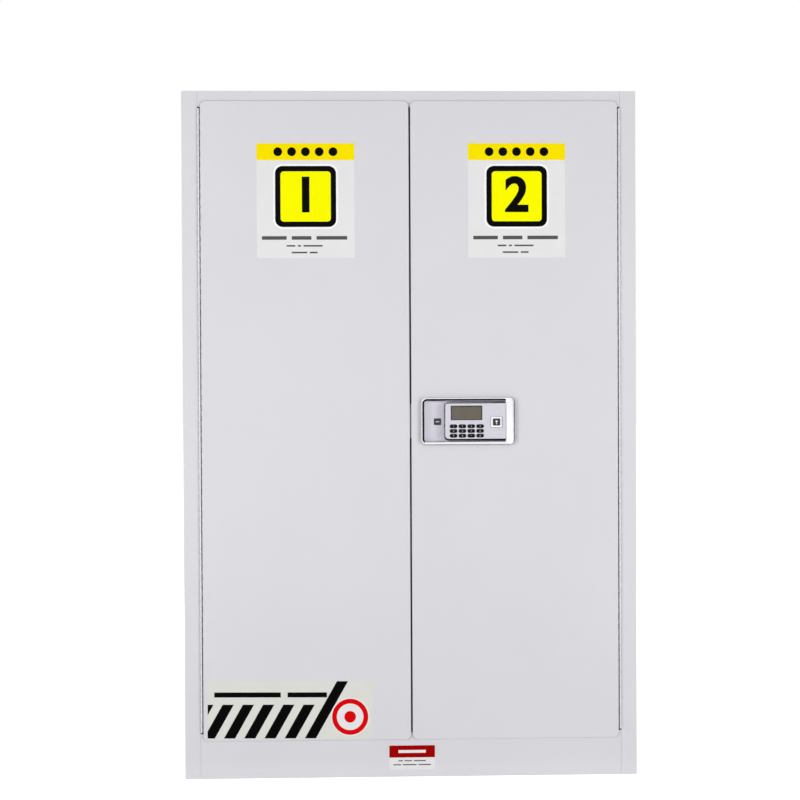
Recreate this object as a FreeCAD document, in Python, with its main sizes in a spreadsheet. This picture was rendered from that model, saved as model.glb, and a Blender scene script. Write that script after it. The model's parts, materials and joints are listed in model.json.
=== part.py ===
import FreeCAD, Part
import math
import os
import re
import PartDesign
import Sketcher

# Two-door steel safety cabinet for reagents, closed, with an electronic lock on its right door.
# Millimetres. X runs across the front, the doors face -Y and Z is up. The origin is the middle
# of the base. Walls and doors are double skins of folded sheet, and each door hangs on one
# piano hinge as tall as the door opening.

SIZES = (
    ("case_w", 1090, "case: overall width"),
    ("case_h", 1650, "case: overall height"),
    ("case_d", 460, "case: depth from frame face to back"),
    ("steel", 1.2, "case: sheet steel of walls and doors"),
    ("stile", 38, "case: frame beside the doors, and side wall thickness"),
    ("head_h", 38, "case: frame above the door opening"),
    ("sill_h", 108, "case: plinth below the door opening"),
    ("jamb_d", 42, "case: depth of the opening's jamb"),
    ("fold", 25, "case: width of the folded edges"),
    ("rear_wall", 38, "case: rear wall thickness"),
    ("base_rise", 20, "case: base sheet above the floor"),
    ("overrun", 2, "all cuts: how far a cut passes the face it starts from"),
    ("sump_depth", 50, "sump: tray depth below the sill"),
    ("bearer_w", 60, "sump: width of the bearers under the tray"),
    ("bearer_x", 260, "sump: each bearer's distance from the middle"),
    ("upright_w", 26, "shelving: face width of an upright"),
    ("upright_d", 12, "shelving: depth of an upright"),
    ("upright_lip", 10, "shelving: fixing lip of an upright"),
    ("upright_t", 1.5, "shelving: sheet of an upright"),
    ("upright_end", 20, "shelving: upright short of the opening, each end"),
    ("upright_in", 48, "shelving: upright's middle from jamb or rear wall"),
    ("slot_w", 5, "shelving: slot width"),
    ("slot_h", 22, "shelving: slot height"),
    ("slot_first", 40, "shelving: first slot above the upright's foot"),
    ("slot_pitch", 90, "shelving: distance between slots"),
    ("lower_slot", 5, "shelving: slots below the lower shelf's clips"),
    ("upper_slot", 10, "shelving: slots below the upper shelf's clips"),
    ("shelf_h", 30, "shelving: depth of a shelf's folded edge"),
    ("shelf_hem", 14, "shelving: inward return of that edge"),
    ("shelf_front", 14, "shelving: shelf behind the jamb"),
    ("shelf_back", 6, "shelving: shelf ahead of the rear wall"),
    ("shelf_gap", 1, "shelving: shelf end to clip"),
    ("clip_t", 2, "shelving: sheet of a clip"),
    ("clip_drop", 32, "shelving: height of a clip"),
    ("clip_reach", 22, "shelving: how far a clip carries the shelf"),
    ("tongue_w", 4, "shelving: width of a clip's tongue"),
    ("tongue_h", 18, "shelving: height of a clip's tongue"),
    ("door_proud", 4, "doors: front skin ahead of the frame face"),
    ("door_gap", 4, "doors: gap between the two doors"),
    ("lap_top", 14, "doors: skin over the frame above the opening"),
    ("lap_low", 17, "doors: skin over the frame below the opening"),
    ("door_r", 12, "doors: corner radius of the skin"),
    ("door_bevel", 1.1, "doors: bevel of the skin's front edge"),
    ("pan_d", 34, "doors: back of the inner pan behind the frame face"),
    ("pan_gap", 4, "doors: pan and hinge short of head and sill"),
    ("hem_gap", 0.5, "doors: folded top and bottom hem short of the frame"),
    ("seal_w", 9, "doors: width of the seal strip"),
    ("seal_gap", 0.3, "doors: seal strip to the frame"),
    ("smoke_t", 1.5, "doors: thickness of the strip in the gap between them"),
    ("smoke_w", 22, "doors: width of that strip"),
    ("smoke_sunk", 3, "doors: that strip behind the doors' face"),
    ("smoke_end", 1, "doors: that strip to the lock's faceplate"),
    ("leaf_t", 1, "hinges: leaf thickness"),
    ("leaf_w", 28, "hinges: leaf width behind the knuckles"),
    ("knuckle_r", 2.6, "hinges: knuckle radius"),
    ("pin_r", 1.4, "hinges: pin radius"),
    ("pin_gap", 0.05, "hinges: running clearance round the pin"),
    ("axis_proud", 3, "hinges: axis ahead of the frame face"),
    ("axis_jamb", 2.2, "hinges: axis to the jamb"),
    ("axis_door", 4.4, "hinges: axis to the door's edge"),
    ("knuckle_pairs", 7, "hinges: knuckles on each leaf"),
    ("knuckle_gap", 0.4, "hinges: gap between knuckles, and leaf to turning knuckle"),
    ("lock_x", 137.6, "lock: middle of its bezel from the cabinet's middle"),
    ("lock_z", 857.4, "lock: middle of its bezel above the floor"),
    ("lock_w", 225.6, "lock: bezel width"),
    ("lock_h", 113.4, "lock: bezel height"),
    ("lock_r", 12, "lock: bezel corner radius"),
    ("rim_w", 6, "lock: rim at left, top and bottom"),
    ("band_w", 22.4, "lock: broad rim at the right"),
    ("rim_proud", 10, "lock: rim ahead of the door"),
    ("rim_bevel", 2.4, "lock: bevel of the rim"),
    ("tub_depth", 12, "lock: finger tub behind the door's face"),
    ("tub_t", 1.5, "lock: wall of the tub"),
    ("tub_gap", 0.5, "lock: tub to the hole in the door skin"),
    ("module_w", 148, "keypad: housing width"),
    ("module_h", 92, "keypad: housing height"),
    ("module_drop", 0.4, "keypad: housing's middle below the bezel's middle"),
    ("module_bevel", 1.4, "keypad: bevel of the front edge"),
    ("module_r", 10, "keypad: corner radius at the left"),
    ("module_proud", 14, "keypad: housing ahead of the door"),
    ("module_t", 3.5, "keypad: front wall"),
    ("module_side", 2.5, "keypad: side wall"),
    ("lip_t", 12, "keypad: thickness of the overhang that fingers pull"),
    ("lip_w", 9, "keypad: width of that overhang"),
    ("lens_w", 75.5, "keypad: display window width"),
    ("lens_h", 34.6, "keypad: display window height"),
    ("lens_t", 1.6, "keypad: display window thickness"),
    ("lens_gap", 0.25, "keypad: display window to its seat"),
    ("lens_ledge", 2.5, "keypad: ledge that carries the window"),
    ("lens_x", -20.3, "keypad: window's middle from the housing's middle"),
    ("lens_z", 20.2, "keypad: window's middle above the housing's middle"),
    ("key_w", 17.8, "keypad: key width"),
    ("key_h", 8.6, "keypad: key height"),
    ("key_r", 3.4, "keypad: key corner radius"),
    ("key_proud", 1.6, "keypad: key ahead of the housing"),
    ("key_gap", 0.25, "keypad: key to its hole"),
    ("key_flange", 0.9, "keypad: flange that keeps a key in"),
    ("key_pitch_x", 21.25, "keypad: distance between keys across"),
    ("key_pitch_z", 11.35, "keypad: distance between keys down"),
    ("key_x", -51.6, "keypad: first key from the housing's middle"),
    ("key_z", -11.7, "keypad: top row from the housing's middle"),
    ("board_t", 1.6, "keypad: circuit board thickness"),
    ("board_gap", 0.3, "keypad: circuit board to the housing"),
    ("board_back", 4, "keypad: circuit board behind the front wall"),
    ("cover_w", 27.6, "key cover: width"),
    ("cover_h", 26.6, "key cover: height"),
    ("cover_t", 2.4, "key cover: thickness"),
    ("cover_r", 2.5, "key cover: corner radius"),
    ("cover_gap", 0.2, "key cover: clear of the housing"),
    ("cover_x", 51.6, "key cover: middle from the housing's middle"),
    ("cover_z", -2, "key cover: middle from the housing's middle"),
    ("cover_pivot", 9.3, "key cover: pivot above the cover's middle"),
    ("pivot_r", 2, "key cover: pivot radius"),
    ("plug_drop", 2.8, "lock works: plug and pinion below the cover's middle"),
    ("plug_r", 6.4, "lock works: radius of the key plug"),
    ("plug_l", 5, "lock works: length of the key plug"),
    ("keyway_w", 1.6, "lock works: keyway width"),
    ("keyway_h", 8, "lock works: keyway height"),
    ("keyway_d", 3, "lock works: keyway depth"),
    ("arbor_r", 4, "lock works: radius of the arbor"),
    ("arbor_hole", 1, "lock works: room round the arbor where it passes"),
    ("run_gap", 0.05, "lock works: running clearance of arbor, plug and pivot"),
    ("tooth_module", 2, "lock works: module of the teeth"),
    ("pinion_teeth", 10, "lock works: teeth on the pinion"),
    ("driver_teeth", 8, "lock works: teeth on the motor's pinion"),
    ("backlash", 0.5, "lock works: backlash"),
    ("pinion_add", 1.5, "lock works: pinion tooth ahead of the pitch line"),
    ("rack_add", 1.1, "lock works: rack and motor tooth ahead of the pitch line"),
    ("tooth_room", 0.5, "lock works: tooth tip to root"),
    ("rack_teeth", 6, "lock works: teeth on each rack"),
    ("mesh_gap", 0.1, "lock works: added to the distance between the two pinions"),
    ("motor_r", 5.5, "lock works: radius of the motor"),
    ("motor_l", 10, "lock works: length of the motor"),
    ("motor_shaft_r", 1.5, "lock works: radius of the motor's shaft"),
    ("rod_w", 10, "lock works: width of a rod"),
    ("rod_t", 5, "lock works: thickness of a rod"),
    ("rod_layer", 1, "lock works: gap between layers and to the case"),
    ("rod_slack", 0.4, "lock works: rod to its guides"),
    ("rod_short", 1, "lock works: rod's tip past the pan at rest"),
    ("strike_room", 2, "lock works: rod to the strike hole"),
    ("bolt_h", 16, "lock works: height of the bolt's head"),
    ("bolt_t", 9, "lock works: thickness of the bolt's head"),
    ("bolt_l", 40, "lock works: length of the bolt's head"),
    ("case_half", 36, "lock works: half the width of the lock case"),
    ("lockcase_t", 1.5, "lock works: wall of the lock case"),
    ("plate_h", 82, "lock works: height of faceplate and strike plate"),
    ("plate_w", 24, "lock works: width of both plates"),
    ("plate_t", 1, "lock works: thickness of both plates"),
    ("guide_wall", 4, "lock works: wall of a rod guide"),
    ("guide_h", 20, "lock works: height of a rod guide"),
    ("guide_in", 30, "lock works: guide from the end of the pan"),
    ("battery_w", 90, "battery box: width"),
    ("battery_h", 64, "battery box: height"),
    ("battery_d", 18, "battery box: depth"),
    ("battery_r", 6, "battery box: corner radius"),
    ("battery_x", 130, "battery box: middle from the cabinet's middle"),
    ("vent_r", 25.4, "vents: bore radius"),
    ("vent_t", 3.6, "vents: tube wall"),
    ("vent_flange", 38, "vents: radius of the flange on the back"),
    ("vent_lip", 2, "vents: tube ahead of the liner"),
    ("vent_proud", 5, "vents: flange and tube past the back"),
    ("vent_gap", 0.4, "vents: tube to the hole in a sheet"),
    ("vent_seat_r", 22, "vents: radius of the arrester's seat"),
    ("vent_seat_l", 8, "vents: length of that seat from the liner"),
    ("vent_x", 350, "vents: distance from the middle"),
    ("vent_low", 210, "vents: lower one above the floor"),
    ("vent_high", 200, "vents: upper one below the top"),
    ("arrester_t", 2.5, "vents: thickness of the arrester disc"),
    ("arrester_gap", 0.05, "vents: arrester to its seat"),
    ("arrester_hole", 3, "vents: half width of a hole in the arrester"),
    ("arrester_pitch", 10, "vents: distance between those holes"),
)

doc = FreeCAD.newDocument("reagent_cabinet")
sheet = doc.addObject("Spreadsheet::Sheet", "Sizes")
for row, (word, value, note) in enumerate(SIZES, 1):
    sheet.set(f"A{row}", note)
    sheet.set(f"B{row}", str(value))
    sheet.setAlias(f"B{row}", word)
doc.recompute()
WORDS = {word for word, value, note in SIZES}

# Places that many pieces share, as sums of the sizes above. Depths count from the frame face.
FRONT = "((door_proud + module_proud + cover_gap + cover_t - case_d - vent_proud) / 2)"
HALF = "(case_w / 2)"
OPEN_X = "(case_w / 2 - stile)"
OPEN_TOP = "(case_h - head_h)"
REAR_IN = "(case_d - rear_wall)"
SUMP_Z = "(sill_h - sump_depth)"
AXIS_X = f"({OPEN_X} - axis_jamb)"
DOOR_X = f"({AXIS_X} - axis_door)"
GAP_X = "(door_gap / 2)"
PAN_LOW = "(sill_h + pan_gap)"
PAN_TOP = f"({OPEN_TOP} - pan_gap)"
SKIN_BACK = "(steel - door_proud)"
PIN_PITCH = f"(({PAN_TOP} - {PAN_LOW}) / (2 * knuckle_pairs))"
TUB_L = "(lock_x - lock_w / 2 + rim_w)"
TUB_R = "(lock_x + lock_w / 2 - band_w)"
TUB_H = "(lock_h / 2 - rim_w)"
TUB_BACK = "(tub_depth - door_proud + tub_t)"
FACE = "(-door_proud - module_proud)"
MODULE_X = f"({TUB_R} - module_w / 2)"
MODULE_Z = "(lock_z - module_drop)"
ARBOR_X = f"({MODULE_X} + cover_x)"
ARBOR_Z = f"({MODULE_Z} + cover_z - plug_drop)"
PITCH_R = "(tooth_module * pinion_teeth / 2)"
ROOT_LINE = f"({PITCH_R} + pinion_add + tooth_room)"
LAYER_A = f"({TUB_BACK} + rod_layer)"
LAYER_B = f"({LAYER_A} + rod_t + rod_layer)"
LOCKCASE_BACK = f"({LAYER_B} + rod_t + rod_layer + lockcase_t)"
UPRIGHT_LOW = "(sill_h + upright_end)"
UPRIGHT_TOP = f"({OPEN_TOP} - upright_end)"
SLOT_COUNT = f"floor(({UPRIGHT_TOP} - {UPRIGHT_LOW} - 2 * slot_first) / slot_pitch) + 1"
DRIVER_Z = f"({ARBOR_Z} + tooth_module * (pinion_teeth + driver_teeth) / 2 + mesh_gap)"
RACK_PITCH = "(pi * tooth_module)"
PRESSURE_ANGLE = math.radians(20)
VENTS = (("-vent_x", "case_h - vent_high"), ("vent_x", "vent_low"))
KEY_ROWS = range(3)
KEY_COLUMNS = range(4)
ARRESTER_ROW = (-1, 0, 1)
CORNER_FLATS = 3
KNUCKLE_SIDES = 10
BORE_SIDES = 8
TOUCH_SHARE = 1e-5
SIDES = {"left": -1, "right": 1}
PARTS = []


def size(word):
    """The number that the sheet holds for a size."""
    return float(getattr(sheet, word))


def sums(text):
    """A sum of sizes as an expression that reads the sheet."""
    return re.sub(r"[a-z][a-z_]*", lambda m: "Sizes." + m[0] if m[0] in WORDS else m[0], text)


def bind(item, prop, text):
    item.setExpression(prop, sums(text))


def depth(text):
    """A depth behind the frame face, as a place along Y."""
    return f"({FRONT} + {text})"


def span(side, near, far):
    """Low and high place along X of what lies between two distances from the middle."""
    if side > 0:
        return near, far
    return f"-({far})", f"-({near})"


def finish(item, label):
    item.Label = label
    PARTS.append(item)
    return item


def block(x, y, z):
    """A block between two places along each axis."""
    item = doc.addObject("Part::Box", "Block")
    for prop, axis, (low, high) in (("Length", "x", x), ("Width", "y", y), ("Height", "z", z)):
        bind(item, prop, f"({high}) - ({low})")
        bind(item, f"Placement.Base.{axis}", low)
    return item


def rod_along_y(x, z, radius, low, high):
    """A cylinder along Y between two depths."""
    item = doc.addObject("Part::Cylinder", "Round")
    item.Placement = FreeCAD.Placement(FreeCAD.Vector(), FreeCAD.Rotation(FreeCAD.Vector(1, 0, 0), -90))
    bind(item, "Radius", radius)
    bind(item, "Height", f"({high}) - ({low})")
    bind(item, "Placement.Base.x", x)
    bind(item, "Placement.Base.y", depth(low))
    bind(item, "Placement.Base.z", z)
    return item


def fuse(items):
    if len(items) == 1:
        return items[0]
    joined = doc.addObject("Part::MultiFuse", "Joined")
    joined.Shapes = items
    return joined


def cut(base, *tools):
    result = doc.addObject("Part::Cut", "Cut")
    result.Base = base
    result.Tool = fuse(list(tools))
    return result


def origin_part(body, role):
    return [item for item in body.Origin.OriginFeatures if item.Role == role][0]


def sketch(body, plane, loops, level):
    """Closed outlines on an origin plane moved to a level along its normal."""
    drawing = body.newObject("Sketcher::SketchObject", "Sketch")
    drawing.AttachmentSupport = [(origin_part(body, plane + "_Plane"), "")]
    drawing.MapMode = "FlatFace"
    bind(drawing, "AttachmentOffset.Base.z", level)

    def pin_down(geometry, point, x, y):
        for kind, text in (("DistanceX", x), ("DistanceY", y)):
            index = drawing.addConstraint(Sketcher.Constraint(kind, -1, 1, geometry, point, 1.0))
            bind(drawing, f"Constraints[{index}]", text)

    for loop in loops:
        first = drawing.GeometryCount
        if loop[0] == "circle":
            drawing.addGeometry(Part.Circle(FreeCAD.Vector(), FreeCAD.Vector(0, 0, 1), 1.0), False)
            pin_down(first, 3, loop[1], loop[2])
            index = drawing.addConstraint(Sketcher.Constraint("Radius", first, 1.0))
            bind(drawing, f"Constraints[{index}]", loop[3])
            continue
        count = len(loop)
        corners = [FreeCAD.Vector(math.cos(math.tau * i / count), math.sin(math.tau * i / count), 0)
                   for i in range(count)]
        for i in range(count):
            drawing.addGeometry(Part.LineSegment(corners[i], corners[(i + 1) % count]), False)
        for i in range(count):
            following = first + (i + 1) % count
            drawing.addConstraint(Sketcher.Constraint("Coincident", first + i, 2, following, 1))
        for i, (x, y) in enumerate(loop):
            pin_down(first + i, 1, x, y)
    return drawing


def new_body(label):
    body = doc.addObject("PartDesign::Body", "Body")
    return finish(body, label)


def pad(body, plane, loops, low, high):
    """Material between two levels. The XZ plane's normal is -Y."""
    level = f"-({high})" if plane == "XZ" else low
    feature = body.newObject("PartDesign::Pad", "Pad")
    feature.Profile = sketch(body, plane, loops, level)
    bind(feature, "Length", f"({high}) - ({low})")
    body.Tip = feature
    return feature


def pocket(body, plane, loops, low, high):
    """A cut between two levels. It runs against the plane's normal."""
    level = f"-({low})" if plane == "XZ" else high
    feature = body.newObject("PartDesign::Pocket", "Pocket")
    feature.Profile = sketch(body, plane, loops, level)
    bind(feature, "Length", f"({high}) - ({low})")
    body.Tip = feature
    return feature


def repeat(body, feature, axis, spacing, count):
    """More of a feature, in a row along an axis."""
    pattern = body.newObject("PartDesign::LinearPattern", "Row")
    pattern.Originals = [feature]
    pattern.Direction = (origin_part(body, axis + "_Axis"), [""])
    pattern.Mode = "Spacing"
    bind(pattern, "Offset", spacing)
    bind(pattern, "Occurrences", count)
    body.Tip = pattern
    return pattern


def box_loop(x, y):
    return [(x[0], y[0]), (x[1], y[0]), (x[1], y[1]), (x[0], y[1])]


def around(middle, half):
    return f"({middle}) - ({half})", f"({middle}) + ({half})"


def regular(x, y, reach, sides):
    """A regular outline with its corners at one distance from the middle."""
    turns = [math.tau * (i + 0.5) / sides for i in range(sides)]
    return [(f"{x} + ({reach}) * {math.cos(a):.6f}", f"{y} + ({reach}) * {math.sin(a):.6f}") for a in turns]


def soft_box(x, y, radius):
    """A box outline whose corners turn in a few flats that follow an arc of that radius."""
    places = []
    middles = ((1, 1), (-1, 1), (-1, -1), (1, -1))
    for quarter, (right, up) in enumerate(middles):
        corner_x = f"({x[1]}) - ({radius})" if right > 0 else f"({x[0]}) + ({radius})"
        corner_y = f"({y[1]}) - ({radius})" if up > 0 else f"({y[0]}) + ({radius})"
        for step in range(CORNER_FLATS + 1):
            angle = math.tau / 4 * (quarter + step / CORNER_FLATS)
            places.append((f"{corner_x} + ({radius}) * {math.cos(angle):.6f}",
                           f"{corner_y} + ({radius}) * {math.sin(angle):.6f}"))
    return places


def mirrored(places):
    """An outline that is alike on both sides of the middle, from the points of its right half."""
    return places + [(f"-({x})", y) for x, y in reversed(places)]


def round_corners(body, radius, sides=(-1, 1)):
    """Round the outer corners, as seen from the front, of the body made so far."""
    doc.recompute()
    base = body.Tip
    box = base.Shape.BoundBox
    near = box.DiagonalLength * TOUCH_SHARE
    names = []
    for index, edge in enumerate(base.Shape.Edges, 1):
        bounds = edge.BoundBox
        if bounds.XLength > near or bounds.ZLength > near:
            continue
        left = abs(bounds.Center.x - box.XMin) < near
        right = abs(bounds.Center.x - box.XMax) < near
        low = abs(bounds.Center.z - box.ZMin) < near
        high = abs(bounds.Center.z - box.ZMax) < near
        if (low or high) and ((left and -1 in sides) or (right and 1 in sides)):
            names.append(f"Edge{index}")
    fillet = body.newObject("PartDesign::Fillet", "Rounding")
    fillet.Base = (base, names)
    bind(fillet, "Radius", radius)
    body.Tip = fillet


def bevel_front(body, width):
    """Bevel the whole outer edge of the front face of the body made so far."""
    doc.recompute()
    base = body.Tip
    box = base.Shape.BoundBox
    near = box.DiagonalLength * TOUCH_SHARE
    face = [f for f in base.Shape.Faces if f.BoundBox.YLength < near and f.BoundBox.YMax - box.YMin < near][0]
    names = []
    for index, edge in enumerate(base.Shape.Edges, 1):
        if any(edge.isSame(other) for other in face.OuterWire.Edges):
            names.append(f"Edge{index}")
    bevel = body.newObject("PartDesign::Chamfer", "Front_bevel")
    bevel.Base = (base, names)
    bind(bevel, "Size", width)
    body.Tip = bevel


# Case

def outer_side(label, side):
    """Side wall, stile and rear return, with the jamb folded back between base and top."""
    body = new_body(label)
    places = (
        (HALF, "0"), (HALF, "case_d"), (f"{HALF} - fold", "case_d"), (f"{HALF} - fold", "case_d - steel"),
        (f"{HALF} - steel", "case_d - steel"), (f"{HALF} - steel", "steel"), (OPEN_X, "steel"), (OPEN_X, "0"))
    pad(body, "XY", [[(f"{side} * ({x})", depth(y)) for x, y in places]], "0", "case_h")
    jamb = box_loop(span(side, OPEN_X, f"{OPEN_X} + steel"), (depth("steel"), depth("jamb_d")))
    pad(body, "XY", [jamb], "base_rise + steel", "case_h - steel")


def outer_back():
    """Rear sheet, held inside the rear returns, with a hole for each vent."""
    body = new_body("outer_back")
    inner = f"{HALF} - steel"
    pad(body, "XZ", [box_loop((f"-({inner})", inner), ("0", "case_h - steel"))],
        depth("case_d - 2 * steel"), depth("case_d - steel"))
    holes = [("circle", x, z, "vent_r + vent_t + vent_gap") for x, z in VENTS]
    pocket(body, "XZ", holes, depth("case_d - 2 * steel - overrun"), depth("case_d - steel + overrun"))


def top_panel():
    """Top sheet with both side edges folded down."""
    body = new_body("top_panel")
    edge = f"{HALF} - steel"
    places = [(edge, "case_h"), (edge, "case_h - fold"), (f"{edge} - steel", "case_h - fold"),
              (f"{edge} - steel", "case_h - steel")]
    pad(body, "XZ", [mirrored(places)], depth("steel"), depth("case_d - 2 * steel"))


def base_panel():
    """Base sheet with both side edges folded down and in, to stand on."""
    body = new_body("base_panel")
    edge = f"{HALF} - steel"
    places = [(edge, "base_rise + steel"), (edge, "0"), (f"{HALF} - steel - fold", "0"),
              (f"{HALF} - steel - fold", "steel"), (f"{edge} - steel", "steel"), (f"{edge} - steel", "base_rise")]
    pad(body, "XZ", [mirrored(places)], depth("steel"), depth("case_d - 2 * steel"))


def head_rail():
    """Frame above the doors, with the opening's head folded back from it."""
    body = new_body("head_rail")
    z = OPEN_TOP
    places = (("0", z), ("jamb_d", z), ("jamb_d", f"{z} + steel"), ("steel", f"{z} + steel"),
              ("steel", "case_h - 2 * steel"), ("fold", "case_h - 2 * steel"), ("fold", "case_h - steel"),
              ("steel", "case_h - steel"), ("steel", "case_h"), ("0", "case_h"))
    pad(body, "YZ", [[(depth(y), up) for y, up in places]], f"-{OPEN_X}", OPEN_X)
    strike(body, f"{ARBOR_X} - {ROOT_LINE} - rod_w / 2", z)


def plinth_rail():
    """Frame below the doors, with the sill folded back from it."""
    body = new_body("plinth_rail")
    places = (("0", "0"), ("fold", "0"), ("fold", "steel"), ("steel", "steel"),
              ("steel", "sill_h - steel"), ("jamb_d", "sill_h - steel"), ("jamb_d", "sill_h"), ("0", "sill_h"))
    pad(body, "YZ", [[(depth(y), z) for y, z in places]], f"-{OPEN_X}", OPEN_X)
    strike(body, f"{ARBOR_X} + {ROOT_LINE} + rod_w / 2", "sill_h - steel")


def strike(body, x, z):
    """Hole that a lock rod's tip enters."""
    loop = box_loop(around(x, "rod_w / 2 + strike_room"),
                    around(depth(f"{LAYER_A} + rod_t / 2"), "rod_t / 2 + strike_room"))
    pocket(body, "XY", [loop], f"{z} - steel", f"{z} + 2 * steel")


def liner_side(label, side):
    item = block(span(side, OPEN_X, f"{OPEN_X} + steel"), (depth("jamb_d"), depth(REAR_IN)),
                 (SUMP_Z, OPEN_TOP))
    finish(item, label)


def liner_back():
    body = new_body("liner_back")
    x = f"({OPEN_X} + steel)"
    pad(body, "XZ", [box_loop((f"-{x}", x), (SUMP_Z, f"{OPEN_TOP} + steel"))],
        depth(REAR_IN), depth(f"{REAR_IN} + steel"))
    holes = [("circle", x, z, "vent_r + vent_t + vent_gap") for x, z in VENTS]
    pocket(body, "XZ", holes, depth(f"{REAR_IN} - overrun"), depth(f"{REAR_IN} + steel + overrun"))


def liner_ceiling():
    x = f"({OPEN_X} + steel)"
    item = block((f"-{x}", x), (depth("jamb_d"), depth(REAR_IN)), (OPEN_TOP, f"{OPEN_TOP} + steel"))
    finish(item, "liner_ceiling")


def sump_tray():
    """Leak-tight tray below the sill."""
    outside = block((f"-{OPEN_X}", OPEN_X), (depth("jamb_d"), depth(REAR_IN)), (SUMP_Z, "sill_h"))
    inside = block((f"steel - {OPEN_X}", f"{OPEN_X} - steel"),
                   (depth("jamb_d + steel"), depth(f"{REAR_IN} - steel")),
                   (f"{SUMP_Z} + steel", "sill_h + overrun"))
    finish(cut(outside, inside), "sump_tray")


def tray_bearers():
    """Two hat sections that carry the tray on the base sheet."""
    body = new_body("tray_bearers")
    loops = []
    for side in SIDES.values():
        middle = f"{side} * bearer_x"
        places = (("-bearer_w / 2 - fold", "0"), ("-bearer_w / 2 - fold", "steel"),
                  ("-bearer_w / 2", "steel"), ("-bearer_w / 2", "top"), ("bearer_w / 2", "top"),
                  ("bearer_w / 2", "steel"), ("bearer_w / 2 + fold", "steel"), ("bearer_w / 2 + fold", "0"),
                  ("bearer_w / 2 - steel", "0"), ("bearer_w / 2 - steel", "under"),
                  ("steel - bearer_w / 2", "under"), ("steel - bearer_w / 2", "0"))
        rises = {"0": "base_rise + steel", "steel": "base_rise + 2 * steel",
                 "top": SUMP_Z, "under": f"{SUMP_Z} - steel"}
        loops.append([(f"{middle} + ({x})", rises[z]) for x, z in places])
    pad(body, "XZ", loops, depth("jamb_d"), depth(REAR_IN))


# Shelving

def upright_places():
    return "jamb_d + upright_in", f"{REAR_IN} - upright_in"


def uprights(label, side):
    """Front and rear slotted uprights of one side wall."""
    body = new_body(label)
    loops = []
    half = "upright_w / 2"
    face = f"{OPEN_X} - upright_d"
    for middle in upright_places():
        places = ((OPEN_X, f"-({half}) - upright_lip"), (f"{OPEN_X} - upright_t", f"-({half}) - upright_lip"),
                  (f"{OPEN_X} - upright_t", f"-({half})"), (face, f"-({half})"), (face, half),
                  (f"{OPEN_X} - upright_t", half), (f"{OPEN_X} - upright_t", f"{half} + upright_lip"),
                  (OPEN_X, f"{half} + upright_lip"), (OPEN_X, f"{half} - upright_t"),
                  (f"{face} + upright_t", f"{half} - upright_t"), (f"{face} + upright_t", f"upright_t - {half}"),
                  (OPEN_X, f"upright_t - {half}"))
        loops.append([(f"{side} * ({x})", depth(f"{middle} + {y}")) for x, y in places])
    pad(body, "XY", loops, UPRIGHT_LOW, UPRIGHT_TOP)
    low, high = span(side, f"{face} - overrun", f"{face} + upright_t + overrun")
    slots = [box_loop(around(depth(middle), "slot_w / 2"), around(f"{UPRIGHT_LOW} + slot_first", "slot_h / 2"))
             for middle in upright_places()]
    repeat(body, pocket(body, "YZ", slots, low, high), "Z", "slot_pitch", SLOT_COUNT)


def shelf_z(slot):
    """Top of a shelf's clips, which hang in the given slot."""
    return f"({UPRIGHT_LOW} + slot_first + {slot} * slot_pitch + tongue_h / 2)"


def shelf(label, slot):
    """Shelf with folded front and rear edges."""
    body = new_body(label)
    low = shelf_z(slot)
    front = "(jamb_d + shelf_front)"
    back = f"({REAR_IN} - shelf_back)"
    top = f"{low} + steel"
    foot = f"{top} - shelf_h"
    places = ((front, top), (back, top), (back, foot), (f"{back} - shelf_hem", foot),
              (f"{back} - shelf_hem", f"{foot} + steel"), (f"{back} - steel", f"{foot} + steel"),
              (f"{back} - steel", low), (f"{front} + steel", low), (f"{front} + steel", f"{foot} + steel"),
              (f"{front} + shelf_hem", f"{foot} + steel"), (f"{front} + shelf_hem", foot), (front, foot))
    end = f"{OPEN_X} - upright_d - clip_t - shelf_gap"
    pad(body, "YZ", [[(depth(y), z) for y, z in places]], f"-({end})", end)


def shelf_clips():
    """Eight clips: a tongue in the upright's slot, a plate on its face and a ledge for the shelf."""
    pieces = []
    face = f"{OPEN_X} - upright_d"
    for slot in ("lower_slot", "upper_slot"):
        top = shelf_z(slot)
        for side in SIDES.values():
            for middle in upright_places():
                wide = around(depth(middle), "upright_w / 2")
                plate = block(span(side, f"{face} - clip_t", face), wide, (f"{top} - clip_drop", top))
                ledge = block(span(side, f"{face} - clip_reach", face), wide, (f"{top} - clip_t", top))
                tongue = block(span(side, face, f"{face} + 2 * upright_t + clip_t"),
                               around(depth(middle), "tongue_w / 2"), (f"{top} - tongue_h", top))
                pieces += [plate, ledge, tongue]
    finish(fuse(pieces), "shelf_clips")


# Doors

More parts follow.
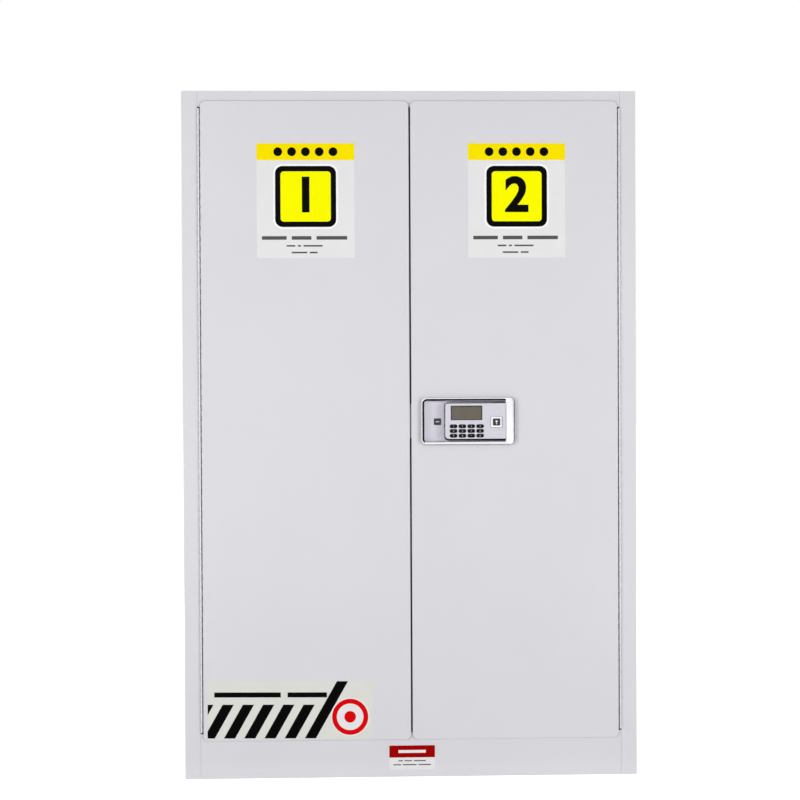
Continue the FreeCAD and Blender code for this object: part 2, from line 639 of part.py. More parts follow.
def door_outer(label, side):
    """Front skin with its side walls and the hems along top and bottom."""
    body = new_body(label)
    low, high = span(side, GAP_X, DOOR_X)
    pad(body, "XZ", [box_loop((low, high), ("sill_h - lap_low", f"{OPEN_TOP} + lap_top"))],
        depth("-door_proud"), depth(SKIN_BACK))
    round_corners(body, "door_r")
    bevel_front(body, "door_bevel")
    walls = [box_loop(span(side, GAP_X, f"{GAP_X} + steel"), (depth(SKIN_BACK), depth("pan_d"))),
             box_loop(span(side, f"{DOOR_X} - steel", DOOR_X), (depth(SKIN_BACK), depth("pan_d")))]
    pad(body, "XY", walls, PAN_LOW, PAN_TOP)
    wide = span(side, f"{GAP_X} + door_r", f"{DOOR_X} - door_r")
    hems = [box_loop(wide, ("sill_h - lap_low", "sill_h - lap_low + steel")),
            box_loop(wide, (f"{OPEN_TOP} + lap_top - steel", f"{OPEN_TOP} + lap_top"))]
    pad(body, "XZ", hems, depth(SKIN_BACK), depth("-hem_gap"))
    bolt_slot(body, side, f"{GAP_X}", f"{GAP_X} + steel")
    if side > 0:
        hole = box_loop((f"{TUB_L} - tub_t - tub_gap", f"{TUB_R} + tub_t + tub_gap"),
                        around("lock_z", f"{TUB_H} + tub_t + tub_gap"))
        pocket(body, "XZ", [hole], depth("-door_proud - overrun"), depth(f"{SKIN_BACK} + overrun"))


def bolt_slot(body, side, near, far):
    """Slot that the lock's centre bolt passes."""
    low, high = span(side, f"{near} - overrun", f"{far} + overrun")
    middle = f"{ARBOR_Z} - {ROOT_LINE} - rod_w / 2"
    loop = box_loop(around(depth(f"{LAYER_B} + rod_t / 2"), "bolt_t / 2 + rod_layer"),
                    around(middle, "bolt_h / 2 + rod_layer"))
    pocket(body, "YZ", [loop], low, high)


def door_inner(label, side):
    """Pan that closes the door's back and its top and bottom."""
    body = new_body(label)
    wide = span(side, f"{GAP_X} + steel", f"{DOOR_X} - steel")
    places = ((SKIN_BACK, PAN_LOW), ("pan_d", PAN_LOW), ("pan_d", PAN_TOP), (SKIN_BACK, PAN_TOP),
              (SKIN_BACK, f"{PAN_TOP} - steel"), ("pan_d - steel", f"{PAN_TOP} - steel"),
              ("pan_d - steel", f"{PAN_LOW} + steel"), (SKIN_BACK, f"{PAN_LOW} + steel"))
    pad(body, "YZ", [[(depth(y), z) for y, z in places]], *wide)
    if side > 0:
        for x, z in ((f"{ARBOR_X} - {ROOT_LINE} - rod_w / 2", f"{PAN_TOP} - steel"),
                     (f"{ARBOR_X} + {ROOT_LINE} + rod_w / 2", PAN_LOW)):
            loop = box_loop(around(x, "rod_w / 2 + rod_slack"),
                            around(depth(f"{LAYER_A} + rod_t / 2"), "rod_t / 2 + rod_slack"))
            pocket(body, "XY", [loop], f"{z} - steel", f"{z} + 2 * steel")


def door_seals(label, side):
    """Seal strips behind the skin's laps above and below, and down the right door's free edge."""
    body = new_body(label)
    wide = span(side, f"{GAP_X} + door_r", f"{DOOR_X} - door_r")
    strips = [box_loop(wide, ("sill_h - lap_low + 2 * steel", "sill_h - lap_low + 2 * steel + seal_w")),
              box_loop(wide, (f"{OPEN_TOP} + lap_top - 2 * steel - seal_w", f"{OPEN_TOP} + lap_top - 2 * steel"))]
    pad(body, "XZ", strips, depth(SKIN_BACK), depth("-seal_gap"))
    if side > 0:
        strip = box_loop((f"{GAP_X} - smoke_t", GAP_X), (depth("smoke_sunk - door_proud"),
                                                         depth("smoke_sunk - door_proud + smoke_w")))
        pad(body, "XY", [strip], PAN_LOW, "lock_z - plate_h / 2 - smoke_end")
        pad(body, "XY", [strip], "lock_z + plate_h / 2 + smoke_end", PAN_TOP)


# Hinges

def hinge_leaf(label, side, offset, near, far):
    """A leaf between two distances from the axis, with every other knuckle of the hinge."""
    body = new_body(label)
    axis_x = f"{side} * {AXIS_X}"
    axis_y = depth("-axis_proud")
    near_x, far_x = (f"{axis_x} + {side} * ({place})" for place in (near, far))
    rear = f"{axis_y} + knuckle_r"
    start = f"{rear} + knuckle_gap"
    pad(body, "XY", [box_loop((near_x, far_x), (start, f"{start} + leaf_w"))], PAN_LOW, PAN_TOP)
    low = f"{PAN_LOW} + {offset} * {PIN_PITCH} + knuckle_gap / 2"
    high = f"{low} + {PIN_PITCH} - knuckle_gap"
    crank = [(axis_x, f"{rear} - leaf_t"), (far_x, f"{rear} - leaf_t"), (far_x, f"{start} + leaf_t"),
             (near_x, f"{start} + leaf_t"), (near_x, rear), (axis_x, rear)]
    web = pad(body, "XY", [crank], low, high)
    repeat(body, web, "Z", f"2 * {PIN_PITCH}", "knuckle_pairs")
    tube = pad(body, "XY", [regular(axis_x, axis_y, "knuckle_r", KNUCKLE_SIDES)], low, high)
    repeat(body, tube, "Z", f"2 * {PIN_PITCH}", "knuckle_pairs")
    clear = f"(pin_r + pin_gap) / {math.cos(math.pi / BORE_SIDES):.6f}"
    pocket(body, "XY", [regular(axis_x, axis_y, clear, BORE_SIDES)],
           f"{PAN_LOW} - overrun", f"{PAN_TOP} + overrun")


def hinge_pin(label, side):
    item = doc.addObject("Part::Cylinder", "Pin")
    bind(item, "Radius", "pin_r")
    bind(item, "Height", f"{PAN_TOP} - {PAN_LOW}")
    bind(item, "Placement.Base.x", f"{side} * {AXIS_X}")
    bind(item, "Placement.Base.y", depth("-axis_proud"))
    bind(item, "Placement.Base.z", PAN_LOW)
    finish(item, label)


# Lock front

def lock_bezel():
    """Rim on the door with the finger tub behind it, and a hole for the arbor in the tub's floor."""
    body = new_body("lock_bezel")
    rim_front = "-door_proud - rim_proud"
    pad(body, "XZ", [box_loop(around("lock_x", "lock_w / 2"), around("lock_z", "lock_h / 2"))],
        depth(rim_front), depth("-door_proud"))
    round_corners(body, "lock_r")
    bevel_front(body, "rim_bevel")
    pad(body, "XZ", [box_loop((f"{TUB_L} - tub_t", f"{TUB_R} + tub_t"), around("lock_z", f"{TUB_H} + tub_t"))],
        depth("-door_proud"), depth(TUB_BACK))
    pocket(body, "XZ", [box_loop((TUB_L, TUB_R), around("lock_z", TUB_H))],
           depth(f"{rim_front} - overrun"), depth(f"{TUB_BACK} - tub_t"))
    pocket(body, "XZ", [("circle", ARBOR_X, ARBOR_Z, "arbor_r + arbor_hole")],
           depth(f"{TUB_BACK} - tub_t - overrun"), depth(f"{TUB_BACK} + overrun"))


def keypad_housing():
    """Raised housing, hollow behind, whose left edge overhangs the tub as the door's pull."""
    body = new_body("keypad_housing")
    left = f"({TUB_R} - module_w)"
    pad(body, "XZ", [box_loop((left, TUB_R), around(MODULE_Z, "module_h / 2"))],
        depth(FACE), depth(f"{FACE} + lip_t"))
    round_corners(body, "module_r", (-1,))
    bevel_front(body, "module_bevel")
    foot = f"({left} + lip_w)"
    pad(body, "XZ", [box_loop((foot, TUB_R), around(MODULE_Z, "module_h / 2"))],
        depth(f"{FACE} + lip_t"), depth(f"{TUB_BACK} - tub_t"))
    pocket(body, "XZ", [box_loop((f"{foot} + module_side", f"{TUB_R} - module_side"),
                                 around(MODULE_Z, "module_h / 2 - module_side"))],
           depth(f"{FACE} + module_t"), depth(TUB_BACK))
    lens = (around(f"{MODULE_X} + lens_x", "lens_w / 2"), around(f"{MODULE_Z} + lens_z", "lens_h / 2"))
    seat = [(f"{low} - lens_gap", f"{high} + lens_gap") for low, high in lens]
    window = [(f"{low} + lens_ledge", f"{high} - lens_ledge") for low, high in lens]
    pocket(body, "XZ", [box_loop(*seat)], depth(f"{FACE} - overrun"), depth(f"{FACE} + lens_t"))
    pocket(body, "XZ", [box_loop(*window)], depth(f"{FACE} - overrun"), depth(f"{FACE} + module_t + overrun"))
    holes = []
    for row in KEY_ROWS:
        for column in KEY_COLUMNS:
            x, z = key_middle(row, column)
            holes.append(box_loop(around(x, "key_w / 2 + key_gap"), around(z, "key_h / 2 + key_gap")))
    pocket(body, "XZ", holes, depth(f"{FACE} - overrun"), depth(f"{FACE} + module_t + overrun"))
    rounds = [("circle", ARBOR_X, ARBOR_Z, "plug_r + run_gap"),
              ("circle", ARBOR_X, f"{ARBOR_Z} + plug_drop + cover_pivot", "pivot_r + run_gap")]
    pocket(body, "XZ", rounds, depth(f"{FACE} - overrun"), depth(f"{FACE} + module_t + overrun"))


def key_middle(row, column):
    return f"({MODULE_X} + key_x + {column} * key_pitch_x)", f"({MODULE_Z} + key_z - {row} * key_pitch_z)"


def display_window():
    body = new_body("display_window")
    outline = box_loop(around(f"{MODULE_X} + lens_x", "lens_w / 2"), around(f"{MODULE_Z} + lens_z", "lens_h / 2"))
    pad(body, "XZ", [outline], depth(FACE), depth(f"{FACE} + lens_t"))


def key(label, row, column):
    """One push key: a rounded cap through the housing and the flange that keeps it in."""
    body = new_body(label)
    x, z = key_middle(row, column)
    pad(body, "XZ", [soft_box(around(x, "key_w / 2"), around(z, "key_h / 2"), "key_r")],
        depth(f"{FACE} - key_proud"), depth(f"{FACE} + module_t + key_gap"))
    pad(body, "XZ", [box_loop(around(x, "key_w / 2 + key_flange"), around(z, "key_h / 2 + key_flange"))],
        depth(f"{FACE} + module_t + key_gap"), depth(f"{FACE} + module_t + key_gap + key_flange"))


def circuit_board():
    left = f"({TUB_R} - module_w + lip_w + module_side + board_gap)"
    plate = block((left, f"{TUB_R} - module_side - board_gap"),
                  (depth(f"{FACE} + module_t + board_back"), depth(f"{FACE} + module_t + board_back + board_t")),
                  around(MODULE_Z, "module_h / 2 - module_side - board_gap"))
    hole = rod_along_y(ARBOR_X, ARBOR_Z, "arbor_r + arbor_hole", f"{FACE} + module_t + board_back - overrun",
                       f"{FACE} + module_t + board_back + board_t + overrun")
    finish(cut(plate, hole), "circuit_board")


def key_cover():
    """Cover that swings aside on its pivot to show the emergency key plug."""
    body = new_body("key_cover")
    middle = f"{ARBOR_Z} + plug_drop"
    pad(body, "XZ", [soft_box(around(ARBOR_X, "cover_w / 2"), around(middle, "cover_h / 2"), "cover_r")],
        depth(f"{FACE} - cover_gap - cover_t"), depth(f"{FACE} - cover_gap"))
    pad(body, "XZ", [("circle", ARBOR_X, f"{middle} + cover_pivot", "pivot_r")],
        depth(f"{FACE} - cover_gap"), depth(f"{FACE} + module_t"))


# Lock works

def gear_outline(teeth, above, below):
    """Involute teeth, thinned by the backlash, the first one on the X axis."""
    pitch_r = size("tooth_module") * teeth / 2
    base_r = pitch_r * math.cos(PRESSURE_ANGLE)
    half_tooth = (math.pi * size("tooth_module") / 2 - size("backlash")) / 2 / pitch_r

    def involute(angle):
        return math.tan(angle) - angle

    def half_angle(radius):
        roll = 0 if radius <= base_r else math.acos(base_r / radius)
        return half_tooth + involute(PRESSURE_ANGLE) - involute(roll)

    tip_r = pitch_r + above
    flank = [(r, half_angle(r)) for r in (pitch_r - below, base_r, pitch_r, tip_r)]
    places = []
    for tooth in range(teeth):
        middle = math.tau * tooth / teeth
        places += [(radius, middle - half) for radius, half in flank]
        places += [(radius, middle + half) for radius, half in reversed(flank)]
    corners = [FreeCAD.Vector(r * math.cos(a), 0, r * math.sin(a)) for r, a in places]
    return Part.Face(Part.makePolygon(corners + corners[:1]))


def pinion():
    """Arbor with the key plug at its front end and the pinion that drives both rods and the bolt."""
    front = -size("door_proud") - size("module_proud")
    gear_front = size("tub_depth") - size("door_proud") + size("tub_t") + size("rod_layer")
    gear_l = 2 * size("rod_t") + size("rod_layer")
    back = gear_front + gear_l + size("rod_layer") + size("lockcase_t")
    along = FreeCAD.Vector(0, 1, 0)
    outline = gear_outline(int(size("pinion_teeth")), size("pinion_add"), size("rack_add") + size("tooth_room"))
    gear = outline.extrude(along * gear_l).translated(along * gear_front)
    arbor = Part.makeCylinder(size("arbor_r"), back - front, along * front, along)
    plug = Part.makeCylinder(size("plug_r"), size("plug_l"), along * front, along)
    corner = FreeCAD.Vector(-size("keyway_w") / 2, front, -size("keyway_h") / 2)
    keyway = Part.makeBox(size("keyway_w"), size("keyway_d"), size("keyway_h"), corner)
    item = doc.addObject("Part::Feature", "Pinion")
    item.Shape = gear.fuse([arbor, plug]).cut(keyway).removeSplitter()
    bind(item, "Placement.Base.x", ARBOR_X)
    bind(item, "Placement.Base.y", FRONT)
    bind(item, "Placement.Base.z", ARBOR_Z)
    finish(item, "pinion")


def drive_pinion():
    """Small pinion on the motor's shaft, in mesh above the large one."""
    along = FreeCAD.Vector(0, 1, 0)
    outline = gear_outline(int(size("driver_teeth")), size("rack_add"), size("pinion_add") + size("tooth_room"))
    gear = outline.extrude(along * size("rod_t"))
    bore = Part.makeCylinder(size("motor_shaft_r") + size("run_gap"), size("rod_t"), FreeCAD.Vector(), along)
    item = doc.addObject("Part::Feature", "Drive_pinion")
    item.Shape = gear.cut(bore)
    bind(item, "Placement.Base.x", ARBOR_X)
    bind(item, "Placement.Base.y", depth(LAYER_B))
    bind(item, "Placement.Base.z", DRIVER_Z)
    finish(item, "drive_pinion")


def drive_motor():
    """Small gear motor through the back of the lock case, with its shaft."""
    front = f"{LOCKCASE_BACK} - lockcase_t"
    can = rod_along_y(ARBOR_X, DRIVER_Z, "motor_r", front, f"{front} + motor_l")
    shaft = rod_along_y(ARBOR_X, DRIVER_Z, "motor_shaft_r", LAYER_B, front)
    finish(fuse([can, shaft]), "drive_motor")


def tooth_loop(middle, inner, near, outer):
    """A rack tooth's outline along the rack and across it, from its tip to inside the bar."""
    slope = f"{math.tan(PRESSURE_ANGLE):.8f}"
    tip = f"({RACK_PITCH} / 4 - backlash / 4 - rack_add * {slope})"
    root = f"({RACK_PITCH} / 4 - backlash / 4 + (pinion_add + tooth_room) * {slope})"
    return [(f"{middle} - {tip}", inner), (f"{middle} + {tip}", inner), (f"{middle} + {root}", near),
            (f"{middle} + {root}", outer), (f"{middle} - {root}", outer), (f"{middle} - {root}", near)]


def rod(label, side):
    """Flat rod with its rack beside the pinion. Side -1 goes up and 1 goes down."""
    body = new_body(label)
    near = f"{ARBOR_X} + {side} * {ROOT_LINE}"
    far = f"{ARBOR_X} + {side} * ({ROOT_LINE} + rod_w)"
    inner = f"{ARBOR_X} + {side} * ({PITCH_R} - rack_add)"
    outer = f"{ARBOR_X} + {side} * ({ROOT_LINE} + rod_w / 4)"
    end = f"{ARBOR_Z} + {side} * (rack_teeth / 2 + 1) * {RACK_PITCH}"
    tip = f"{PAN_TOP} + rod_short" if side < 0 else f"{PAN_LOW} - rod_short"
    layer = (depth(LAYER_A), depth(f"{LAYER_A} + rod_t"))
    pad(body, "XZ", [box_loop((near, far), (end, tip) if side < 0 else (tip, end))], *layer)
    lead = "(rack_teeth / 2 + 1 / 2)" if side < 0 else "(rack_teeth / 2 - 3 / 2)"
    loop = tooth_loop(f"{ARBOR_Z} - {lead} * {RACK_PITCH}", inner, near, outer)
    tooth = pad(body, "XZ", [[(x, z) for z, x in loop]], *layer)
    repeat(body, tooth, "Z", RACK_PITCH, "rack_teeth")


def centre_bolt():
    """Bolt with its rack below the pinion and a thicker head at the door's free edge."""
    body = new_body("centre_bolt")
    near = f"{ARBOR_Z} - {ROOT_LINE}"
    far = f"{ARBOR_Z} - {ROOT_LINE} - rod_w"
    layer = (depth(LAYER_B), depth(f"{LAYER_B} + rod_t"))
    end = f"{ARBOR_X} + (rack_teeth - 3 / 2) * {RACK_PITCH}"
    pad(body, "XZ", [box_loop((GAP_X, end), (far, near))], *layer)
    loop = tooth_loop(f"{ARBOR_X} - {RACK_PITCH}", f"{ARBOR_Z} - {PITCH_R} + rack_add", near,
                      f"{ARBOR_Z} - {ROOT_LINE} - rod_w / 4")
    tooth = pad(body, "XZ", [loop], *layer)
    repeat(body, tooth, "X", RACK_PITCH, "rack_teeth")
    middle = f"({ARBOR_Z} - {ROOT_LINE} - rod_w / 2)"
    head = box_loop((GAP_X, f"{GAP_X} + bolt_l"), around(middle, "bolt_h / 2"))
    pad(body, "XZ", [head], *around(depth(f"{LAYER_B} + rod_t / 2"), "bolt_t / 2"))


def lock_case():
    """Open-fronted case behind the tub, with guides for the rods and bolt and the arbor's bearing."""
    body = new_body("lock_case")
    outer = (around(ARBOR_X, "case_half"), around(ARBOR_Z, "case_half"))
    inner = (around(ARBOR_X, "case_half - lockcase_t"), around(ARBOR_Z, "case_half - lockcase_t"))
    pad(body, "XZ", [box_loop(*outer)], depth(TUB_BACK), depth(LOCKCASE_BACK))
    pocket(body, "XZ", [box_loop(*inner)], depth(f"{TUB_BACK} - overrun"), depth(f"{LOCKCASE_BACK} - lockcase_t"))
    layer_a = around(depth(f"{LAYER_A} + rod_t / 2"), "rod_t / 2 + rod_slack")
    layer_b = around(depth(f"{LAYER_B} + rod_t / 2"), "rod_t / 2 + rod_slack")
    for side in SIDES.values():
        across = around(f"{ARBOR_X} + {side} * ({ROOT_LINE} + rod_w / 2)", "rod_w / 2 + rod_slack")
        wall = around(f"{ARBOR_Z} - {side} * (case_half - lockcase_t / 2)", "lockcase_t / 2 + overrun")
        pocket(body, "XY", [box_loop(across, layer_a)], *wall)
    across = around(f"{ARBOR_Z} - {ROOT_LINE} - rod_w / 2", "rod_w / 2 + rod_slack")
    wall = around(f"{ARBOR_X} - case_half + lockcase_t / 2", "lockcase_t / 2 + overrun")
    pocket(body, "YZ", [box_loop(layer_b, across)], *wall)
    bores = [("circle", ARBOR_X, ARBOR_Z, "arbor_r + run_gap"),
             ("circle", ARBOR_X, DRIVER_Z, "motor_r + run_gap")]
    pocket(body, "XZ", bores, depth(f"{LOCKCASE_BACK} - lockcase_t - overrun"),
           depth(f"{LOCKCASE_BACK} + overrun"))


def edge_plate(label, side):
    """Plate on a door's free edge, slotted for the centre bolt."""
    body = new_body(label)
    low, high = span(side, f"{GAP_X} - plate_t", GAP_X)
    wide = around(depth(f"{LAYER_B} + rod_t / 2"), "plate_w / 2")
    pad(body, "YZ", [box_loop(wide, around("lock_z", "plate_h / 2"))], low, high)
    bolt_slot(body, side, f"{GAP_X} - plate_t", GAP_X)


def rod_guides():
    """Block on the inner pan round each rod, near the rod's tip."""
    body = new_body("rod_guides")
    layer = around(depth(f"{LAYER_A} + rod_t / 2"), "rod_t / 2 + rod_slack")
    for side in SIDES.values():
        middle = f"{ARBOR_X} + {side} * ({ROOT_LINE} + rod_w / 2)"
        low = f"{PAN_LOW} + guide_in" if side > 0 else f"{PAN_TOP} - guide_in - guide_h"
        block_loop = box_loop(around(middle, "rod_w / 2 + rod_slack + guide_wall"),
                              (depth(f"{LAYER_A} - rod_slack - guide_wall"), depth("pan_d - steel")))
        pad(body, "XY", [block_loop], low, f"{low} + guide_h")
        hole = box_loop(around(middle, "rod_w / 2 + rod_slack"), layer)
        pocket(body, "XY", [hole], f"{low} - overrun", f"{low} + guide_h + overrun")


def battery_box():
    """Battery box on the back of the right door's inner pan."""
    body = new_body("battery_box")
    pad(body, "XZ", [box_loop(around("battery_x", "battery_w / 2"), around("lock_z", "battery_h / 2"))],
        depth("pan_d"), depth("pan_d + battery_d"))
    round_corners(body, "battery_r")


# Vents

def rear_vents():
    """Vent tubes through the rear wall, each with a flange on the back and a step for its arrester."""
    body = new_body("rear_vents")
    front = f"{REAR_IN} - vent_lip"
    seat_end = f"{REAR_IN} + vent_seat_l"
    back = "case_d + vent_proud"
    pad(body, "XZ", [("circle", x, z, "vent_r + vent_t") for x, z in VENTS], depth(front), depth(back))
    pad(body, "XZ", [("circle", x, z, "vent_flange") for x, z in VENTS], depth("case_d - steel"), depth(back))
    pocket(body, "XZ", [("circle", x, z, "vent_r") for x, z in VENTS],
           depth(seat_end), depth(f"{back} + overrun"))
    pocket(body, "XZ", [("circle", x, z, "vent_seat_r") for x, z in VENTS],
           depth(f"{front} - overrun"), depth(f"{seat_end} + overrun"))


def flame_arresters():
    """Perforated disc in the seat of each vent."""
    body = new_body("flame_arresters")
    pad(body, "XZ", [("circle", x, z, "vent_seat_r - arrester_gap") for x, z in VENTS],
        depth(REAR_IN), depth(f"{REAR_IN} + arrester_t"))
    holes = []
    for x, z in VENTS:
        for across in ARRESTER_ROW:
            for up in ARRESTER_ROW:
                holes.append(box_loop(around(f"{x} + {across} * arrester_pitch", "arrester_hole"),
                                      around(f"{z} + {up} * arrester_pitch", "arrester_hole")))
    pocket(body, "XZ", holes, depth(f"{REAR_IN} - overrun"), depth(f"{REAR_IN} + arrester_t + overrun"))


for name, side in SIDES.items():
    outer_side(f"outer_side_{name}", side)
    liner_side(f"liner_{name}", side)
    uprights(f"uprights_{name}", side)
    door_outer(f"door_{name}_outer", side)
    door_inner(f"door_{name}_inner", side)
    door_seals(f"door_{name}_seals", side)
    hinge_leaf(f"hinge_{name}_frame_leaf", side, 0, "axis_jamb - leaf_t", "axis_jamb")
    hinge_leaf(f"hinge_{name}_door_leaf", side, 1, "leaf_t - axis_door", "-axis_door")
    hinge_pin(f"hinge_{name}_pin", side)
outer_back()
top_panel()
base_panel()
head_rail()
plinth_rail()
liner_back()
liner_ceiling()
sump_tray()
tray_bearers()
shelf("shelf_lower", "lower_slot")
shelf("shelf_upper", "upper_slot")
shelf_clips()
lock_bezel()
keypad_housing()
display_window()
for row in KEY_ROWS:
    for column in KEY_COLUMNS:
        key(f"key_{row + 1}_{column + 1}", row, column)
circuit_board()
key_cover()
pinion()
drive_pinion()
drive_motor()
rod("top_rod", -1)
rod("bottom_rod", 1)
centre_bolt()
lock_case()
edge_plate("lock_faceplate", 1)
edge_plate("strike_plate", -1)
rod_guides()
battery_box()
rear_vents()
flame_arresters()
doc.recompute()

for item in doc.Objects:
    if {"Invalid", "Error"} & set(item.State):
        raise SystemExit(f"{item.Name} of the model failed: {item.State}")
for item in PARTS:
    if item.Shape.isNull() or not item.Shape.isValid() or not item.Shape.Solids:
        raise SystemExit(f"{item.Label} has no valid solid")
os.makedirs("parts", exist_ok=True)
for item in PARTS:
    item.Shape.exportStep(f"parts/{item.Label}.step")
    print(f"{item.Label}: {len(item.Shape.Solids)} solid(s), {item.Shape.Volume / 1000:.1f} cm3")
print(f"{len(PARTS)} sub-parts")
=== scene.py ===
import json
import math

import bpy
from mathutils import Matrix, Vector

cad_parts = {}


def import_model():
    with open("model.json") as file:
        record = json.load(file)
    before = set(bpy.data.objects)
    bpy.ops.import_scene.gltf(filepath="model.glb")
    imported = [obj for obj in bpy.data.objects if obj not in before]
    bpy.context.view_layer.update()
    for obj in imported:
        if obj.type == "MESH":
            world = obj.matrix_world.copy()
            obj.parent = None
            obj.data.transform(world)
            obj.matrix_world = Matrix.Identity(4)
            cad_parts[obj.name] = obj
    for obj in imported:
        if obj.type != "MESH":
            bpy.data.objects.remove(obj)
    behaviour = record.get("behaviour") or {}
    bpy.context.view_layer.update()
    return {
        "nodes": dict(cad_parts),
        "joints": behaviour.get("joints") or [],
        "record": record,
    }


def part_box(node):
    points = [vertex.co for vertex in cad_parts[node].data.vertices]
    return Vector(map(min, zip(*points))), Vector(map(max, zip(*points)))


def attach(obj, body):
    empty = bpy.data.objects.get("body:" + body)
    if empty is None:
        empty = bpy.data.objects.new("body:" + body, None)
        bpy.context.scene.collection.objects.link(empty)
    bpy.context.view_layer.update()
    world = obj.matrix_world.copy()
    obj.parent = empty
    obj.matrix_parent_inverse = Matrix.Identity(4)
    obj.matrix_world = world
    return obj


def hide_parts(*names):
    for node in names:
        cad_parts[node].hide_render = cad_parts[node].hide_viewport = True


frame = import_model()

# Two-door steel safety cabinet, closed, seen from the front in a white studio. Metres. The doors
# face -Y and Z is up. The folded sheets, shelves and lock works keep their solids and get a finish.
# The hinge leaves, the lock's face, its keys and the labels are made here.

MM = 0.001
SCENE = bpy.context.scene
SLOT = {part["node"]: part["material_slot"] for part in frame["record"]["subparts"]}
JOINT = {joint["name"]: joint for joint in frame["joints"]}
SIDES = {"left": -1, "right": 1}
KEY_ROWS = range(3)
KEY_COLUMNS = range(4)


# Materials

NOISE_LOW, NOISE_HIGH = 0.3, 0.7


class Graph:
    """A material's nodes: a principled shader with coordinates in the part's own frame."""

    def __init__(self, name, colour, roughness, metallic=0.0, **sockets):
        self.material = bpy.data.materials.new(name)
        self.material.use_nodes = True
        self.tree = self.material.node_tree
        self.shader = self.tree.nodes["Principled BSDF"]
        self.colour = (*colour, 1.0)
        self.shader.inputs["Base Color"].default_value = self.colour
        self.shader.inputs["Roughness"].default_value = roughness
        self.shader.inputs["Metallic"].default_value = metallic
        for socket, value in sockets.items():
            self.shader.inputs[socket.replace("_", " ")].default_value = value
        self.place = self.add("ShaderNodeTexCoord").outputs["Object"]
        self.tint = None
        self.height = None

    def add(self, kind, **inputs):
        node = self.tree.nodes.new(kind)
        for name, value in inputs.items():
            socket = node.inputs[name.replace("_", " ")]
            if isinstance(value, bpy.types.NodeSocket):
                self.tree.links.new(value, socket)
            else:
                socket.default_value = value
        return node

    def stretched(self, scale):
        """Coordinates scaled by a different number along each axis."""
        mapping = self.add("ShaderNodeMapping", Vector=self.place)
        mapping.inputs["Scale"].default_value = scale
        return mapping.outputs["Vector"]

    def noise(self, size, detail=3.0, place=None):
        """Noise whose features are about one size across."""
        node = self.add("ShaderNodeTexNoise", Vector=place or self.place, Scale=1 / size, Detail=detail)
        return node.outputs["Fac"]

    def spread(self, value, low, high):
        """Noise, which stays near one half, spread from low to high."""
        node = self.add("ShaderNodeMapRange", Value=value, From_Min=NOISE_LOW, From_Max=NOISE_HIGH,
                        To_Min=low, To_Max=high)
        return node.outputs["Result"]

    def vary(self, value, share):
        """Lighten and darken the base colour by a share."""
        self.blend_tint(self.spread(value, 1 - share, 1 + share))

    def blend_tint(self, factor):
        """Multiply the base colour by a factor."""
        mix = self.tree.nodes.new("ShaderNodeVectorMath")
        mix.operation = "MULTIPLY"
        if self.tint is None:
            mix.inputs[0].default_value = self.colour[:3]
        else:
            self.tree.links.new(self.tint, mix.inputs[0])
        self.tree.links.new(factor, mix.inputs[1])
        self.tint = mix.outputs["Vector"]
        self.tree.links.new(self.tint, self.shader.inputs["Base Color"])

    def blend_colour(self, factor, colour):
        """Mix another colour in where the factor is high."""
        mix = self.tree.nodes.new("ShaderNodeMix")
        mix.data_type = "RGBA"
        self.tree.links.new(factor, mix.inputs["Factor"])
        if self.tint is None:
            mix.inputs["A"].default_value = self.colour
        else:
            self.tree.links.new(self.tint, mix.inputs["A"])
        mix.inputs["B"].default_value = (*colour, 1.0)
        self.tint = mix.outputs["Result"]
        self.tree.links.new(self.tint, self.shader.inputs["Base Color"])

    def rough(self, value, low, high):
        """Vary the roughness from low to high."""
        self.tree.links.new(self.spread(value, low, high), self.shader.inputs["Roughness"])

    def bump(self, value, depth):
        """Raise the surface by up to a depth, on top of any bump before it."""
        node = self.add("ShaderNodeBump", Height=value, Distance=depth, Strength=1.0)
        if self.height is not None:
            self.tree.links.new(self.height, node.inputs["Normal"])
        self.height = node.outputs["Normal"]
        self.tree.links.new(self.height, self.shader.inputs["Normal"])


def powder_coat(name, colour, roughness=0.42):
    """Fine orange peel with a faint grain in the colour."""
    graph = Graph(name, colour, roughness, Specular_IOR_Level=0.45)
    grain = graph.noise(1.1 * MM, 4.0)
    graph.vary(grain, 0.022)
    graph.vary(graph.noise(260 * MM, 2.0), 0.010)
    graph.rough(graph.noise(3.5 * MM), roughness - 0.05, roughness + 0.07)
    graph.bump(grain, 0.030 * MM)
    graph.bump(graph.noise(6 * MM, 1.0), 0.035 * MM)
    return graph.material


def brushed(name, colour, roughness, direction, share=0.07, metallic=1.0):
    """Metal with fine lines along one axis."""
    graph = Graph(name, colour, roughness, metallic)
    scale = [0.03 if axis == direction else 1.0 for axis in "XYZ"]
    lines = graph.noise(0.5 * MM, 3.0, graph.stretched(scale))
    graph.vary(lines, share)
    graph.vary(graph.noise(30 * MM), share / 2)
    graph.rough(lines, roughness - 0.06, roughness + 0.08)
    graph.bump(lines, 0.012 * MM)
    return graph.material


def galvanised(name, colour):
    """Zinc with a soft spangle."""
    graph = Graph(name, colour, 0.4, 0.85)
    cells = graph.add("ShaderNodeTexVoronoi", Vector=graph.place, Scale=1 / (9 * MM))
    spangle = graph.add("ShaderNodeSeparateColor", Color=cells.outputs["Color"]).outputs["Red"]
    graph.vary(spangle, 0.05)
    graph.vary(graph.noise(120 * MM), 0.03)
    graph.rough(spangle, 0.34, 0.46)
    graph.bump(graph.noise(1.5 * MM), 0.015 * MM)
    return graph.material


def zinc_plated(name, colour):
    """Bright plating with a faint yellow and blue drift."""
    graph = Graph(name, colour, 0.3, 1.0)
    drift = graph.spread(graph.noise(14 * MM), 0.0, 0.35)
    graph.blend_colour(drift, (0.70, 0.66, 0.52))
    graph.vary(graph.noise(2 * MM), 0.05)
    graph.rough(graph.noise(5 * MM), 0.22, 0.38)
    graph.bump(graph.noise(1 * MM), 0.010 * MM)
    return graph.material


